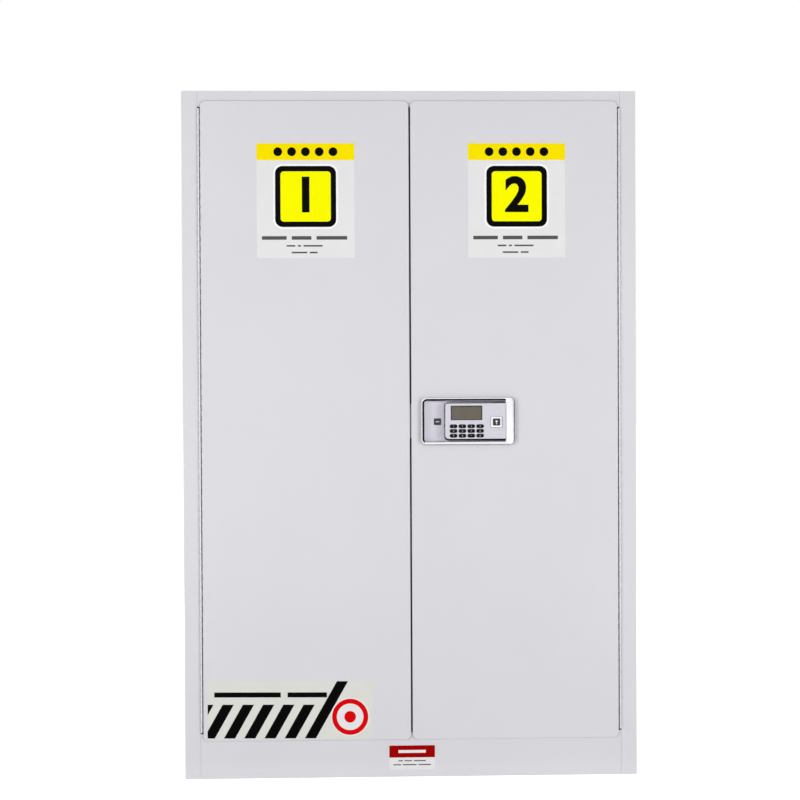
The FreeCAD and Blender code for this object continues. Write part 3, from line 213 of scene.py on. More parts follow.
def moulded(name, colour, roughness, grain=0.6, depth=0.03, **sockets):
    """Moulded plastic or rubber with a fine grain."""
    graph = Graph(name, colour, roughness, **sockets)
    skin = graph.noise(grain * MM)
    graph.vary(skin, 0.05)
    graph.vary(graph.noise(25 * MM), 0.04)
    graph.rough(graph.noise(2 * MM), roughness - 0.05, roughness + 0.07)
    graph.bump(skin, depth * MM)
    return graph.material


def chrome(name):
    """Polished plating with a faint ripple."""
    graph = Graph(name, (0.90, 0.90, 0.92), 0.09, 1.0)
    graph.vary(graph.noise(18 * MM), 0.012)
    graph.rough(graph.noise(4 * MM), 0.06, 0.13)
    graph.bump(graph.noise(9 * MM, 1.0), 0.010 * MM)
    return graph.material


def silver_lacquer(name, colour):
    """Metallic lacquer with fine flake."""
    graph = Graph(name, colour, 0.34, 0.15, Coat_Weight=0.2, Coat_Roughness=0.12)
    flake = graph.noise(0.35 * MM, 2.0)
    graph.vary(flake, 0.05)
    graph.vary(graph.noise(40 * MM), 0.012)
    graph.rough(flake, 0.30, 0.42)
    graph.bump(flake, 0.004 * MM)
    return graph.material


def circuit_board(name):
    """Green solder mask over copper tracks."""
    graph = Graph(name, (0.010, 0.085, 0.030), 0.3, Coat_Weight=0.4, Coat_Roughness=0.2)
    tracks = graph.add("ShaderNodeTexBrick", Vector=graph.place, Scale=1 / (9 * MM), Mortar_Size=0.04)
    graph.blend_colour(tracks.outputs["Fac"], (0.045, 0.17, 0.055))
    graph.vary(graph.noise(1 * MM), 0.08)
    graph.bump(tracks.outputs["Fac"], 0.03 * MM)
    return graph.material


def display_glass(name):
    """Unlit olive grey display behind clear plastic, with the faint columns of its segments."""
    graph = Graph(name, (0.112, 0.091, 0.062), 0.32, Coat_Weight=0.6, Coat_Roughness=0.06)
    columns = graph.add("ShaderNodeTexWave", Vector=graph.place, Scale=1 / (30 * MM))
    graph.vary(columns.outputs["Fac"], 0.015)
    graph.vary(graph.noise(20 * MM), 0.05)
    graph.rough(graph.noise(3 * MM), 0.26, 0.38)
    return graph.material


def printed(name, colour):
    """Printed vinyl film."""
    roughness = 0.36
    graph = Graph(name, colour, roughness, Specular_IOR_Level=0.03)
    graph.vary(graph.noise(0.8 * MM), 0.02)
    graph.vary(graph.noise(60 * MM), 0.015)
    graph.rough(graph.noise(5 * MM), roughness - 0.05, roughness + 0.08)
    graph.bump(graph.noise(4 * MM, 1.0), 0.01 * MM)
    return graph.material


FINISH = {
    "outer_paint": powder_coat("outer_paint", (0.735, 0.728, 0.765)),
    "inner_paint": powder_coat("inner_paint", (0.72, 0.72, 0.745), 0.46),
    "shelf_steel": galvanised("shelf_steel", (0.62, 0.63, 0.65)),
    "hinge_steel": brushed("hinge_steel", (0.93, 0.93, 0.94), 0.36, "Z", 0.07, 0.15),
    "hinge_leaf": brushed("hinge_leaf", (0.66, 0.66, 0.68), 0.36, "Z"),
    # Painted shade: near-black steel on the hinge cranks, standing in for the shaded gap between each
    # barrel and the door edge
    "hinge_shade": brushed("hinge_shade", (0.16, 0.16, 0.17), 0.5, "Z"),
    # Near-black rubber. On the strip in the gap between the doors it is partly a guessed seal and partly
    # painted shade for the gap's deep shadow
    "seal_rubber": moulded("seal_rubber", (0.005, 0.005, 0.006), 0.8, 0.8, 0.05, Specular_IOR_Level=0.05),
    "plated_steel": zinc_plated("plated_steel", (0.66, 0.67, 0.70)),
    # Two copies of one silver lacquer: the tub's (bezel_silver) is painted lighter than the housing's,
    # painted light that offsets the shade inside the tub
    "bezel_silver": silver_lacquer("bezel_silver", (0.85, 0.825, 0.905)),
    "housing_silver": silver_lacquer("housing_silver", (0.72, 0.705, 0.785)),
    "cover_dark": moulded("cover_dark", (0.012, 0.012, 0.014), 0.3, 0.5, 0.01, Coat_Weight=0.5),
    "display_window": display_glass("display_window"),
    "board_green": circuit_board("board_green"),
    "battery_plastic": moulded("battery_plastic", (0.022, 0.022, 0.024), 0.5),
    "lock_brass": brushed("lock_brass", (0.72, 0.52, 0.24), 0.28, "X", 0.05),
    "vent_steel": brushed("vent_steel", (0.60, 0.60, 0.62), 0.36, "Y"),
    "key_black": moulded("key_black", (0.006, 0.006, 0.007), 0.42, 0.5, 0.012, Specular_IOR_Level=0.2),
    "chrome": chrome("chrome"),
    "sign_white": printed("sign_white", (0.82, 0.82, 0.82)),
    "sign_bright": printed("sign_bright", (1.0, 1.0, 1.0)),
    "sign_pale": printed("sign_pale", (0.74, 0.745, 0.70)),
    "sign_yellow": printed("sign_yellow", (1.0, 0.81, 0.0)),
    "sign_lemon": printed("sign_lemon", (1.0, 1.0, 0.0)),
    "sign_black": printed("sign_black", (0.003, 0.003, 0.003)),
    "sign_grey": printed("sign_grey", (0.10, 0.10, 0.10)),
    "sign_red": printed("sign_red", (0.72, 0.002, 0.003)),
    "sign_dark_red": printed("sign_dark_red", (0.35, 0.0, 0.0)),
    "digit_white": printed("digit_white", (0.50, 0.50, 0.50)),
}


# Mesh tools

SMOOTH = math.radians(38)
CORNER_STEPS = 8
EDGE_STEPS = 6
DISC_STEPS = 48
LEAST_R = 0.05 * MM
CAPITAL_SHARE = 0.73


def piece(name, vertices, faces, finish, body, tints=None):
    """A mesh in the part's frame that rides on a body."""
    mesh = bpy.data.meshes.new(name)
    mesh.from_pydata(vertices, [], faces)
    return dress(name, mesh, finish, body, tints=tints)


def dress(name, mesh, finish, body, smooth=SMOOTH, tints=None):
    """Give a mesh its finishes, its smooth shading and the body that it rides on."""
    mesh.materials.clear()
    for word in [finish] if isinstance(finish, str) else finish:
        mesh.materials.append(FINISH[word])
    mesh.polygons.foreach_set("use_smooth", [True] * len(mesh.polygons))
    if tints:
        mesh.polygons.foreach_set("material_index", tints)
    mesh.set_sharp_from_angle(angle=smooth)
    mesh.update()
    item = bpy.data.objects.new(name, mesh)
    SCENE.collection.objects.link(item)
    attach(item, body)
    return item


def rounded(x, z, y, radii):
    """Ring of points at a depth, counter-clockwise from the front, starting at the lower left.
    The radii are those of the lower left, lower right, upper right and upper left corners."""
    corners = (
        (x[0], z[0], 1, 1, math.pi),
        (x[1], z[0], -1, 1, 1.5 * math.pi),
        (x[1], z[1], -1, -1, 0.0),
        (x[0], z[1], 1, -1, 0.5 * math.pi),
    )
    ring = []
    for (corner_x, corner_z, in_x, in_z, start), radius in zip(corners, radii):
        for step in range(CORNER_STEPS + 1):
            angle = start + step / CORNER_STEPS * math.pi / 2
            ring.append((corner_x + in_x * radius + radius * math.cos(angle), y,
                         corner_z + in_z * radius + radius * math.sin(angle)))
    return ring


def circle_facing(ring, x, z, radius, y):
    """A ring on a circle, with each point in line with a ring's point as seen from the middle."""
    points = []
    for point in ring:
        angle = math.atan2(point[2] - z, point[0] - x)
        points.append((x + radius * math.cos(angle), y, z + radius * math.sin(angle)))
    return points


def grown(span, amount):
    return span[0] - amount, span[1] + amount


def around(middle, half):
    return middle - half, middle + half


def round_over(x, z, radii, front, bevel):
    """Rings of a rounded edge, from the wall to the front face."""
    rings = []
    for step in range(EDGE_STEPS + 1):
        angle = step / EDGE_STEPS * math.pi / 2
        inset = bevel * (1 - math.cos(angle))
        y = front + bevel * (1 - math.sin(angle))
        turned = [max(radius - inset, LEAST_R) for radius in radii]
        rings.append(rounded(grown(x, -inset), grown(z, -inset), y, turned))
    return rings


def loft(rings, closed=False):
    """Vertices and faces of a skin over rings of alike length. An open one is capped at both ends."""
    count = len(rings[0])
    vertices = [point for ring in rings for point in ring]
    faces = []
    pairs = [(low, low + 1) for low in range(len(rings) - 1)]
    if closed:
        pairs.append((len(rings) - 1, 0))
    for low, high in pairs:
        for index in range(count):
            near = low * count
            far = high * count
            after = (index + 1) % count
            faces.append((near + index, near + after, far + after, far + index))
    if not closed:
        faces.append(tuple(range(count))[::-1])
        last = (len(rings) - 1) * count
        faces.append(tuple(range(last, last + count)))
    return vertices, faces


def joined(*parts):
    """One mesh from several lists of vertices and faces."""
    vertices, faces = [], []
    for more_vertices, more_faces in parts:
        start = len(vertices)
        vertices += more_vertices
        faces += [tuple(start + index for index in face) for face in more_faces]
    return vertices, faces


def prism(x, z, radii, back, front):
    """A block with rounded corners between two depths."""
    return loft([rounded(x, z, back, radii), rounded(x, z, front, radii)])


def tool(vertices, faces):
    """A bare object for a union or a cut."""
    mesh = bpy.data.meshes.new("tool")
    mesh.from_pydata(vertices, [], faces)
    item = bpy.data.objects.new("tool", mesh)
    SCENE.collection.objects.link(item)
    return item


def shaped(base, steps):
    """The mesh of a solid after unions and cuts with other solids."""
    start = tool(*base)
    others = []
    for operation, solid in steps:
        other = tool(*solid)
        others.append(other)
        change = start.modifiers.new(operation, "BOOLEAN")
        change.operation = operation
        change.solver = "EXACT"
        change.use_self = True
        change.object = other
    graph = bpy.context.evaluated_depsgraph_get()
    mesh = bpy.data.meshes.new_from_object(start.evaluated_get(graph))
    for item in [start, *others]:
        bpy.data.objects.remove(item)
    return mesh


def flat(loops, front, thick, edge=0.0):
    """The mesh of a plate from closed outlines in X and Z, where an outline in another is a hole."""
    curve = bpy.data.curves.new("outline", "CURVE")
    curve.dimensions = "2D"
    curve.fill_mode = "BOTH"
    curve.extrude = thick / 2 - edge
    curve.bevel_depth = edge
    curve.offset = -edge
    for loop in loops:
        spline = curve.splines.new("POLY")
        spline.points.add(len(loop) - 1)
        for point, (x, z) in zip(spline.points, loop):
            point.co = (x, z, 0, 1)
        spline.use_cyclic_u = True
    return stood_up(curve, front + thick / 2)


def stood_up(curve, y):
    """A flat curve's mesh, turned to face the front at a depth."""
    item = bpy.data.objects.new("outline", curve)
    SCENE.collection.objects.link(item)
    graph = bpy.context.evaluated_depsgraph_get()
    mesh = bpy.data.meshes.new_from_object(item.evaluated_get(graph))
    bpy.data.objects.remove(item)
    mesh.transform(Matrix.Translation((0, y, 0)) @ Matrix.Rotation(math.pi / 2, 4, "X"))
    return mesh


def lettered(body, x, z, height, front, thick, weight=0.0):
    """The mesh of a plain digit or sign, centred on a place."""
    curve = bpy.data.curves.new("digit", "FONT")
    curve.body = body
    curve.align_x = "CENTER"
    curve.align_y = "CENTER"
    curve.size = height / CAPITAL_SHARE
    curve.extrude = thick / 2
    curve.offset = weight
    mesh = stood_up(curve, front + thick / 2)
    mesh.transform(Matrix.Translation((x, 0, z)))
    return mesh


def box_loop(x, z, radius=0.0):
    """Outline of a box in X and Z."""
    if not radius:
        return [(x[0], z[0]), (x[1], z[0]), (x[1], z[1]), (x[0], z[1])]
    return [(point[0], point[2]) for point in rounded(x, z, 0, [radius] * 4)]


def disc_loop(x, z, radius):
    """Outline of a disc in X and Z."""
    turns = [step / DISC_STEPS * math.tau for step in range(DISC_STEPS)]
    return [(x + radius * math.cos(turn), z + radius * math.sin(turn)) for turn in turns]


# Places read from the solids
DOOR_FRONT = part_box("door_left_outer")[0].y
PLINTH_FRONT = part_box("plinth_rail")[0].y
BEZEL_LOW, BEZEL_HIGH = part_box("lock_bezel")
HOUSING_LOW, HOUSING_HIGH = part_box("keypad_housing")
LENS_LOW, LENS_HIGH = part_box("display_window")
LENS_X = (LENS_LOW.x, LENS_HIGH.x)
LENS_Z = (LENS_LOW.z, LENS_HIGH.z)
COVER_LOW, COVER_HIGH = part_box("key_cover")
ARBOR = JOINT["pinion_turn"]["pos_m"]
PIVOT = JOINT["key_cover_pivot"]["pos_m"]


# Sheets and works that keep their solids

EASE_SEGMENTS = 3
EASE_ANGLE = math.radians(40)
MEETING = 0.01 * MM
# Bevel widths in millimetres. The case's sheets are eased on their outer edges alone.
CASE_EDGE = 1.15
CASE = ("outer_side_left", "outer_side_right", "head_rail", "plinth_rail", "top_panel", "outer_back")
SOFT_EDGES = {
    "door_left_outer": 0.6, "door_right_outer": 0.6, "door_left_inner": 0.8, "door_right_inner": 0.8,
    "shelf_lower": 0.8, "shelf_upper": 0.8, "sump_tray": 0.8, "battery_box": 1.0, "lock_case": 0.5,
    "rod_guides": 0.6, "rear_vents": 0.8,
}


def weigh_outer_edges(name, mesh):
    """Weigh for the bevel only the edges that lie on two faces of the sheet's bounding box."""
    sides = [(axis, corner[axis]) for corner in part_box(name) for axis in range(3)]
    weights = mesh.attributes.new("bevel_weight_edge", "FLOAT", "EDGE")
    for edge in mesh.edges:
        ends = [mesh.vertices[index].co for index in edge.vertices]
        touched = sum(all(abs(end[axis] - place) < MEETING for end in ends) for axis, place in sides)
        weights.data[edge.index].value = 1.0 if touched >= 2 else 0.0


def finish_solids():
    """Give every solid its finish, and the folded sheets their soft edges."""
    for name, item in frame["nodes"].items():
        item.data.materials.clear()
        item.data.materials.append(FINISH[SLOT[name]])
        if name not in CASE and name not in SOFT_EDGES:
            continue
        weld = item.modifiers.new("weld", "WELD")
        weld.merge_threshold = MEETING
        bevel = item.modifiers.new("edge", "BEVEL")
        bevel.width = SOFT_EDGES.get(name, CASE_EDGE) * MM
        bevel.segments = EASE_SEGMENTS
        bevel.use_clamp_overlap = True
        bevel.harden_normals = True
        if name in CASE:
            weigh_outer_edges(name, item.data)
            bevel.limit_method = "WEIGHT"
        else:
            bevel.limit_method = "ANGLE"
            bevel.angle_limit = EASE_ANGLE


# Hinges

KNUCKLE = 12.7 * MM
KNUCKLE_GAP = 0.45 * MM
KNUCKLE_NICK = 0.9 * MM
KNUCKLE_SLIM = 0.5 * MM
LEAF_T = 1.0 * MM
KNUCKLE_EDGE = 0.4 * MM
PIN_ROOM = 1.45 * MM
KNUCKLE_SIDES = 20
JAMB_REACH = 2.2 * MM
DOOR_REACH = 4.4 * MM


def knuckle(x, y, radius, low, high):
    """A rolled knuckle round the pin with eased ends."""
    profile = (
        (PIN_ROOM, low), (radius - KNUCKLE_EDGE, low), (radius, low + KNUCKLE_EDGE),
        (radius, high - KNUCKLE_EDGE), (radius - KNUCKLE_EDGE, high), (PIN_ROOM, high),
    )
    rings = []
    for reach, z in profile:
        rings.append([(x + reach * math.cos(step / KNUCKLE_SIDES * math.tau),
                       y + reach * math.sin(step / KNUCKLE_SIDES * math.tau), z)
                      for step in range(KNUCKLE_SIDES)])
    return loft(rings, closed=True)


def slab(low, high):
    """A plain rectangular sheet between two corners."""
    x, y, z = zip(low, high)
    vertices = [(x[a], y[b], z[c]) for c in (0, 1) for a, b in ((0, 0), (1, 0), (1, 1), (0, 1))]
    faces = [(3, 2, 1, 0), (4, 5, 6, 7)]
    faces += [(edge, (edge + 1) % 4, (edge + 1) % 4 + 4, edge + 4) for edge in range(4)]
    return vertices, faces


def upright_prism(outline, low, high):
    """A solid between two heights from an outline in X and Y."""
    sides = zip(outline, outline[1:] + outline[:1])
    area = sum(x * next_y - next_x * y for (x, y), (next_x, next_y) in sides)
    turn = outline if area > 0 else outline[::-1]
    return loft([[(x, y, z) for x, y in turn] for z in (low, high)])


def hinge_leaf(node, body, joint, offset, reach):
    """A leaf as tall as the opening, with every other knuckle of a fine piano hinge. The reach runs
    from the hinge's axis to the face that the leaf lies against."""
    low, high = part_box(node)
    axis_x, axis_y = JOINT[joint]["pos_m"][:2]
    far = axis_x + reach
    near = far - math.copysign(LEAF_T, reach)
    radius = axis_y - low.y - KNUCKLE_SLIM
    rear = axis_y + radius
    start = rear + KNUCKLE_GAP
    crank = ((axis_x, rear - LEAF_T), (far, rear - LEAF_T), (far, start + LEAF_T),
             (near, start + LEAF_T), (near, rear), (axis_x, rear))
    count = round((high.z - low.z) / (2 * KNUCKLE))
    pitch = (high.z - low.z) / (2 * count)
    plate = slab((min(near, far), start, low.z), (max(near, far), high.y, high.z))
    cranks = []
    barrels = []
    for index in range(count):
        bottom = low.z + (2 * index + offset) * pitch + KNUCKLE_NICK / 2
        top = bottom + pitch - KNUCKLE_NICK
        cranks.append(upright_prism(crank, bottom, top))
        barrels.append(knuckle(axis_x, axis_y, radius, bottom, top))
    parts = (joined(*barrels), joined(*cranks), plate)
    tints = [tint for tint, part in enumerate(parts) for face in part[1]]
    # The cranks beside the barrels take the near-black finish, painted shade for the gap between barrel
    # and door
    finishes = ("hinge_steel", "hinge_shade", "hinge_leaf")
    item = piece(f"{node}_fine", *joined(*parts), finishes, body, tints=tints)
    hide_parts(node)


def hinges():
    """The four leaves of the two hinges."""
    for name, side in SIDES.items():
        joint = f"door_{name}_hinge"
        hinge_leaf(f"hinge_{name}_frame_leaf", "root", joint, 0, side * JAMB_REACH)
        hinge_leaf(f"hinge_{name}_door_leaf", f"door_{name}", joint, 1, -side * DOOR_REACH)


# Lock front

RIM = 6 * MM
BAND = 22.4 * MM
TUB_T = 1.5 * MM
RIM_ROUND = 1.6 * MM
RIM_CREST = 2.4 * MM
# Inset and drop of the slope from the rim's crest into the tub, in millimetres
RIM_SLOPE = ((0.0, 0.0), (1.2, 0.14), (2.6, 0.55), (4.0, 1.15), (5.2, 1.8), (5.9, 2.6), (6.1, 3.6))
RIM_R = 12 * MM
TUB_R = 8 * MM
TUB_SQUARE = 2.5 * MM
TUB_FILLET = 2.2 * MM
TUB_FLOOR = BEZEL_HIGH.y - TUB_T
FILLET_STEPS = 4
RIM_LEAST_R = 0.4 * MM
FILLET_LEAST_R = 0.1 * MM
ARBOR_ROOM = 5 * MM


def bezel():
    """Plated rim, broad at the right, round a lacquered finger tub."""
    outer_x = (BEZEL_LOW.x, BEZEL_HIGH.x)
    outer_z = (BEZEL_LOW.z, BEZEL_HIGH.z)
    tub_x = (outer_x[0] + RIM, outer_x[1] - BAND)
    tub_z = grown(outer_z, -RIM)
    radii = (RIM_R,) * 4
    tub_radii = (TUB_R, TUB_SQUARE, TUB_SQUARE, TUB_R)
    rings = [rounded(outer_x, outer_z, DOOR_FRONT, radii)]
    rings += round_over(outer_x, outer_z, radii, BEZEL_LOW.y, RIM_ROUND)
    for inset, drop in RIM_SLOPE:
        outward = RIM - RIM_CREST - inset * MM
        span_x = (tub_x[0] - outward, tub_x[1] + max(outward, 0))
        span_z = grown(tub_z, outward)
        turned = [max(radius + outward, RIM_LEAST_R) for radius in tub_radii]
        rings.append(rounded(span_x, span_z, BEZEL_LOW.y + drop * MM, turned))
    wall_x, wall_z, wall_radii = span_x, span_z, turned
    plated = len(rings) - 1
    for step in range(FILLET_STEPS + 1):
        angle = step / FILLET_STEPS * math.pi / 2
        inset = TUB_FILLET * (1 - math.cos(angle))
        y = TUB_FLOOR - TUB_FILLET * (1 - math.sin(angle))
        turned = [max(radius - inset, FILLET_LEAST_R) for radius in wall_radii]
        rings.append(rounded(grown(wall_x, -inset), grown(wall_z, -inset), y, turned))
    x, z = ARBOR[0], ARBOR[2]
    back_x, back_z = grown(tub_x, TUB_T), grown(tub_z, TUB_T)
    back_radii = [radius + TUB_T for radius in tub_radii]
    back_ring = rounded(back_x, back_z, BEZEL_HIGH.y, back_radii)
    rings.append(circle_facing(rings[-1], x, z, ARBOR_ROOM, TUB_FLOOR))
    rings.append(circle_facing(back_ring, x, z, ARBOR_ROOM, BEZEL_HIGH.y))
    rings.append(back_ring)
    rings.append(rounded(back_x, back_z, DOOR_FRONT, back_radii))
    vertices, faces = loft(rings, closed=True)
    count = len(rings[0])
    # The tub's faces take the lighter copy of the lacquer, painted light against the shade in the tub
    tints = [0 if face // count < plated else 1 for face in range(len(faces))]
    item = piece("bezel", vertices, faces, ("chrome", "bezel_silver"), "door_right", tints=tints)
    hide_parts("lock_bezel")


BADGE_X, BADGE_Z = 65.3 * MM, 855.8 * MM
BADGE_HALF_X, BADGE_HALF_Z, BADGE_R = 8.8 * MM, 8 * MM, 1.8 * MM
BAR_HALF_X, BAR_HALF_Z, BAR_R = 4.6 * MM, 1.3 * MM, 0.6 * MM
BADGE_T = 0.5 * MM
BADGE_EDGE = 0.1 * MM


def badge():
    """A plain dark square with a pale bar on the tub's floor."""
    square = box_loop(around(BADGE_X, BADGE_HALF_X), around(BADGE_Z, BADGE_HALF_Z), BADGE_R)
    bar = box_loop(around(BADGE_X, BAR_HALF_X), around(BADGE_Z, BAR_HALF_Z), BAR_R)
    mesh = flat([square, bar], TUB_FLOOR - BADGE_T, BADGE_T, BADGE_EDGE)
    dress("tub_badge", mesh, "cover_dark", "door_right")


LIP_W = 9 * MM
LIP_T = 12 * MM
# Inset and drop of the rounded edge of the front face, in millimetres
HOUSING_EDGE = ((0.0, 3.4), (0.2, 2.7), (0.8, 2.0), (1.9, 1.25), (3.1, 0.55), (4.1, 0.14), (4.7, 0.0))
HOUSING_R = 10 * MM
HOUSING_SQUARE = 0.8 * MM
WALL = 3.5 * MM
SIDE_WALL = 2.5 * MM
LENS_GAP = 0.25 * MM
LENS_LEDGE = 2.5 * MM
KEY_GAP = 0.25 * MM
KEY_R = 3.9 * MM
KEY_FLANGE = 0.9 * MM
PLUG_ROOM = 6.45 * MM
PIVOT_ROOM = 2.05 * MM
# How far a solid that cuts runs past what it cuts
PAST = 1 * MM
# Corner radius of a round hole as a share of its half width, so that no two corners meet
NEARLY_ROUND = 0.999
# Faces of the edge are plated when the Y of their normal is in this range
CHROME_TILT = (-0.97, -0.3)
HOUSING_BEVEL = 0.25 * MM
HOUSING_BEVEL_ANGLE = math.radians(60)
HOUSING_SMOOTH = math.radians(12)


def key_span(row, column):
    """A key's cap across and up, without the flange round its foot."""
    low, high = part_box(f"key_{row}_{column}")
    return (low.x + KEY_FLANGE, high.x - KEY_FLANGE), (low.z + KEY_FLANGE, high.z - KEY_FLANGE)


def opening(x, z, radius):
    """A cut through the front wall of the housing."""
    return "DIFFERENCE", prism(x, z, (radius,) * 4, HOUSING_LOW.y + WALL + PAST, HOUSING_LOW.y - PAST)


def housing():
    """Raised keypad housing whose left edge overhangs the tub."""
    x = (HOUSING_LOW.x, HOUSING_HIGH.x)
    z = (HOUSING_LOW.z, HOUSING_HIGH.z)
    front, back = HOUSING_LOW.y, HOUSING_HIGH.y
    radii = (HOUSING_R, HOUSING_SQUARE, HOUSING_SQUARE, HOUSING_R)
    slab_rings = [rounded(x, z, front + LIP_T, radii)]
    for inset, drop in HOUSING_EDGE:
        turned = [max(radius - inset * MM, LEAST_R) for radius in radii]
        edge_x, edge_z = (x[0] + inset * MM, x[1]), grown(z, -inset * MM)
        slab_rings.append(rounded(edge_x, edge_z, front + drop * MM, turned))
    square = (HOUSING_SQUARE,) * 4
    foot_x = (x[0] + LIP_W, x[1])
    foot = prism(foot_x, z, square, back, front + LIP_T - PAST)
    hollow = prism(grown(foot_x, -SIDE_WALL), grown(z, -SIDE_WALL), square, back + PAST, front + WALL)
    seat = prism(grown(LENS_X, LENS_GAP), grown(LENS_Z, LENS_GAP), square, LENS_HIGH.y, front - PAST)
    steps = [("UNION", foot), ("DIFFERENCE", hollow), ("DIFFERENCE", seat)]
    steps.append(opening(grown(LENS_X, -LENS_LEDGE), grown(LENS_Z, -LENS_LEDGE), HOUSING_SQUARE))
    for row in KEY_ROWS:
        for column in KEY_COLUMNS:
            key_x, key_z = key_span(row + 1, column + 1)
            steps.append(opening(grown(key_x, KEY_GAP), grown(key_z, KEY_GAP), KEY_R + KEY_GAP))
    for place, room in ((ARBOR, PLUG_ROOM), (PIVOT, PIVOT_ROOM)):
        steps.append(opening(around(place[0], room), around(place[2], room), room * NEARLY_ROUND))
    mesh = shaped(loft(slab_rings), steps)
    edge_back = front + HOUSING_EDGE[0][1] * MM
    steep, shallow = CHROME_TILT
    tints = [int(steep < face.normal.y < shallow and face.center.y < edge_back) for face in mesh.polygons]
    finishes = ("housing_silver", "chrome")
    item = dress("keypad_shell", mesh, finishes, "door_right", HOUSING_SMOOTH, tints)
    bevel = item.modifiers.new("edge", "BEVEL")
    bevel.width = HOUSING_BEVEL
    bevel.segments = 2
    bevel.limit_method = "ANGLE"
    bevel.angle_limit = HOUSING_BEVEL_ANGLE
    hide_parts("keypad_housing")


DISPLAY_BORDER = 2.6 * MM
DISPLAY_FOOT = 1.4 * MM
DISPLAY_R, DISPLAY_INNER_R = 0.6 * MM, 0.4 * MM
DISPLAY_EDGE = 0.15 * MM
PANEL_INSET = 1 * MM
PANEL_SUNK = 0.5 * MM


def display():
    """Unlit display behind the window, in a dark frame."""
    inner_z = (LENS_Z[0] + DISPLAY_FOOT, LENS_Z[1] - DISPLAY_BORDER)
    inner = box_loop(grown(LENS_X, -DISPLAY_BORDER), inner_z, DISPLAY_INNER_R)
    outer = box_loop(LENS_X, LENS_Z, DISPLAY_R)
    thick = LENS_HIGH.y - LENS_LOW.y
    mesh = flat([outer, inner], LENS_LOW.y, thick, DISPLAY_EDGE)
    ring = dress("display_frame", mesh, "cover_dark", "door_right")
    field = box_loop(grown(LENS_X, -PANEL_INSET), grown(LENS_Z, -PANEL_INSET))
    mesh = flat([field], LENS_LOW.y + PANEL_SUNK, thick - PANEL_SUNK)
    panel = dress("display_panel", mesh, "display_window", "door_right")
    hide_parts("display_window")


KEY_SIGNS = ("1234", "5678", "90*#")
KEY_FOOT_R = 1 * MM
KEY_CROWN = 0.25 * MM
KEY_ROUND = 0.8 * MM
CROWN_INSET = 2.2 * MM
DIGIT_H = 4.6 * MM
DIGIT_PROUD = 0.06 * MM
DIGIT_T = 0.1 * MM


def keys():
    """Twelve black push keys, each with a digit or sign."""
    foot_radii = (KEY_FOOT_R,) * 4
    radii = (KEY_R,) * 4
    crown_radii = (KEY_R - CROWN_INSET,) * 4
    for row in KEY_ROWS:
        for column in KEY_COLUMNS:
            name = f"key_{row + 1}_{column + 1}"
            low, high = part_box(name)
            foot_x, foot_z = (low.x, high.x), (low.z, high.z)
            flange_front = high.y - KEY_FLANGE
            x, z = key_span(row + 1, column + 1)
            rings = [rounded(foot_x, foot_z, high.y, foot_radii),
                     rounded(foot_x, foot_z, flange_front, foot_radii),
                     rounded(x, z, flange_front, radii)]
            rings += round_over(x, z, radii, low.y + KEY_CROWN, KEY_ROUND)
            rings.append(rounded(grown(x, -CROWN_INSET), grown(z, -CROWN_INSET), low.y, crown_radii))
            cap = piece(f"{name}_cap", *loft(rings), "key_black", name)
            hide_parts(name)
            mesh = lettered(KEY_SIGNS[row][column], sum(x) / 2, sum(z) / 2, DIGIT_H, low.y - DIGIT_PROUD,
                            DIGIT_T)
            dress(f"{name}_digit", mesh, "digit_white", name)


COVER_CLEAR = 0.2 * MM
COVER_R = 2.8 * MM
COVER_ROUND = 1.2 * MM
COVER_FRAME = 4.5 * MM
FIELD_R = 1.5 * MM
FIELD_SUNK = 0.5 * MM
STUB_R = 2 * MM
SIGN_GAP = 0.3 * MM
SIGN_R = 1.2 * MM
SIGN_T = 0.3 * MM
KEYHOLE_UP, KEYHOLE_R = 1.6 * MM, 2.4 * MM
KEYHOLE_SLOT = (-5.2 * MM, -1.4 * MM)
KEYHOLE_HALF = 0.9 * MM


def key_cover():
    """Small plated cover with a dark sunk field and a plain keyhole sign, on its pivot."""
    x, z = (COVER_LOW.x, COVER_HIGH.x), (COVER_LOW.z, COVER_HIGH.z)
    back = HOUSING_LOW.y - COVER_CLEAR
    radii = (COVER_R,) * 4
    field_radii = (FIELD_R,) * 4
    rings = [rounded(x, z, back, radii)]
    rings += round_over(x, z, radii, COVER_LOW.y, COVER_ROUND)
    field_x, field_z = grown(x, -COVER_FRAME), grown(z, -COVER_FRAME)
    rings.append(rounded(field_x, field_z, COVER_LOW.y, field_radii))
    rings.append(rounded(field_x, field_z, COVER_LOW.y + FIELD_SUNK, field_radii))
    rim = rounded(x, z, 0, radii)
    stub = [circle_facing(rim, PIVOT[0], PIVOT[2], STUB_R, y) for y in (COVER_HIGH.y, back)]
    item = piece("key_cover_plate", *joined(loft(rings), loft(stub)), "chrome", "key_cover")
    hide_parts("key_cover")
    middle_x, middle_z = sum(x) / 2, sum(z) / 2
    hole = disc_loop(middle_x, middle_z + KEYHOLE_UP, KEYHOLE_R)
    slot_z = [middle_z + place for place in KEYHOLE_SLOT]
    slot = box_loop(around(middle_x, KEYHOLE_HALF), slot_z)
    plate = box_loop(grown(field_x, -SIGN_GAP), grown(field_z, -SIGN_GAP), SIGN_R)
    mesh = flat([plate, hole, slot], COVER_LOW.y + FIELD_SUNK - SIGN_T, SIGN_T)
    dress("key_cover_sign", mesh, "cover_dark", "key_cover")


# Labels, with plain shapes where lettering and signs would be

FILM = 0.15 * MM
INK = 0.08 * MM
SIGN_W, SIGN_H, SIGN_LOW = 234 * MM, 274 * MM, 1250 * MM
SIGN_X = {"left": -249 * MM, "right": 257.5 * MM}
SIGN_BAND = 40 * MM
DOT_PITCH, DOT_R = 33 * MM, 10.5 * MM
FRAME_MIDDLE, FRAME_HALF = 1397 * MM, 73 * MM
FRAME_W, FRAME_RIM = 13 * MM, 4.5 * MM
FRAME_OUTLINES = (
    (FRAME_HALF - FRAME_W, 8 * MM), (FRAME_HALF, 18 * MM), (FRAME_HALF + FRAME_RIM, 22 * MM),
)
NUMBER_H, NUMBER_WEIGHT = 84 * MM, 3.5 * MM
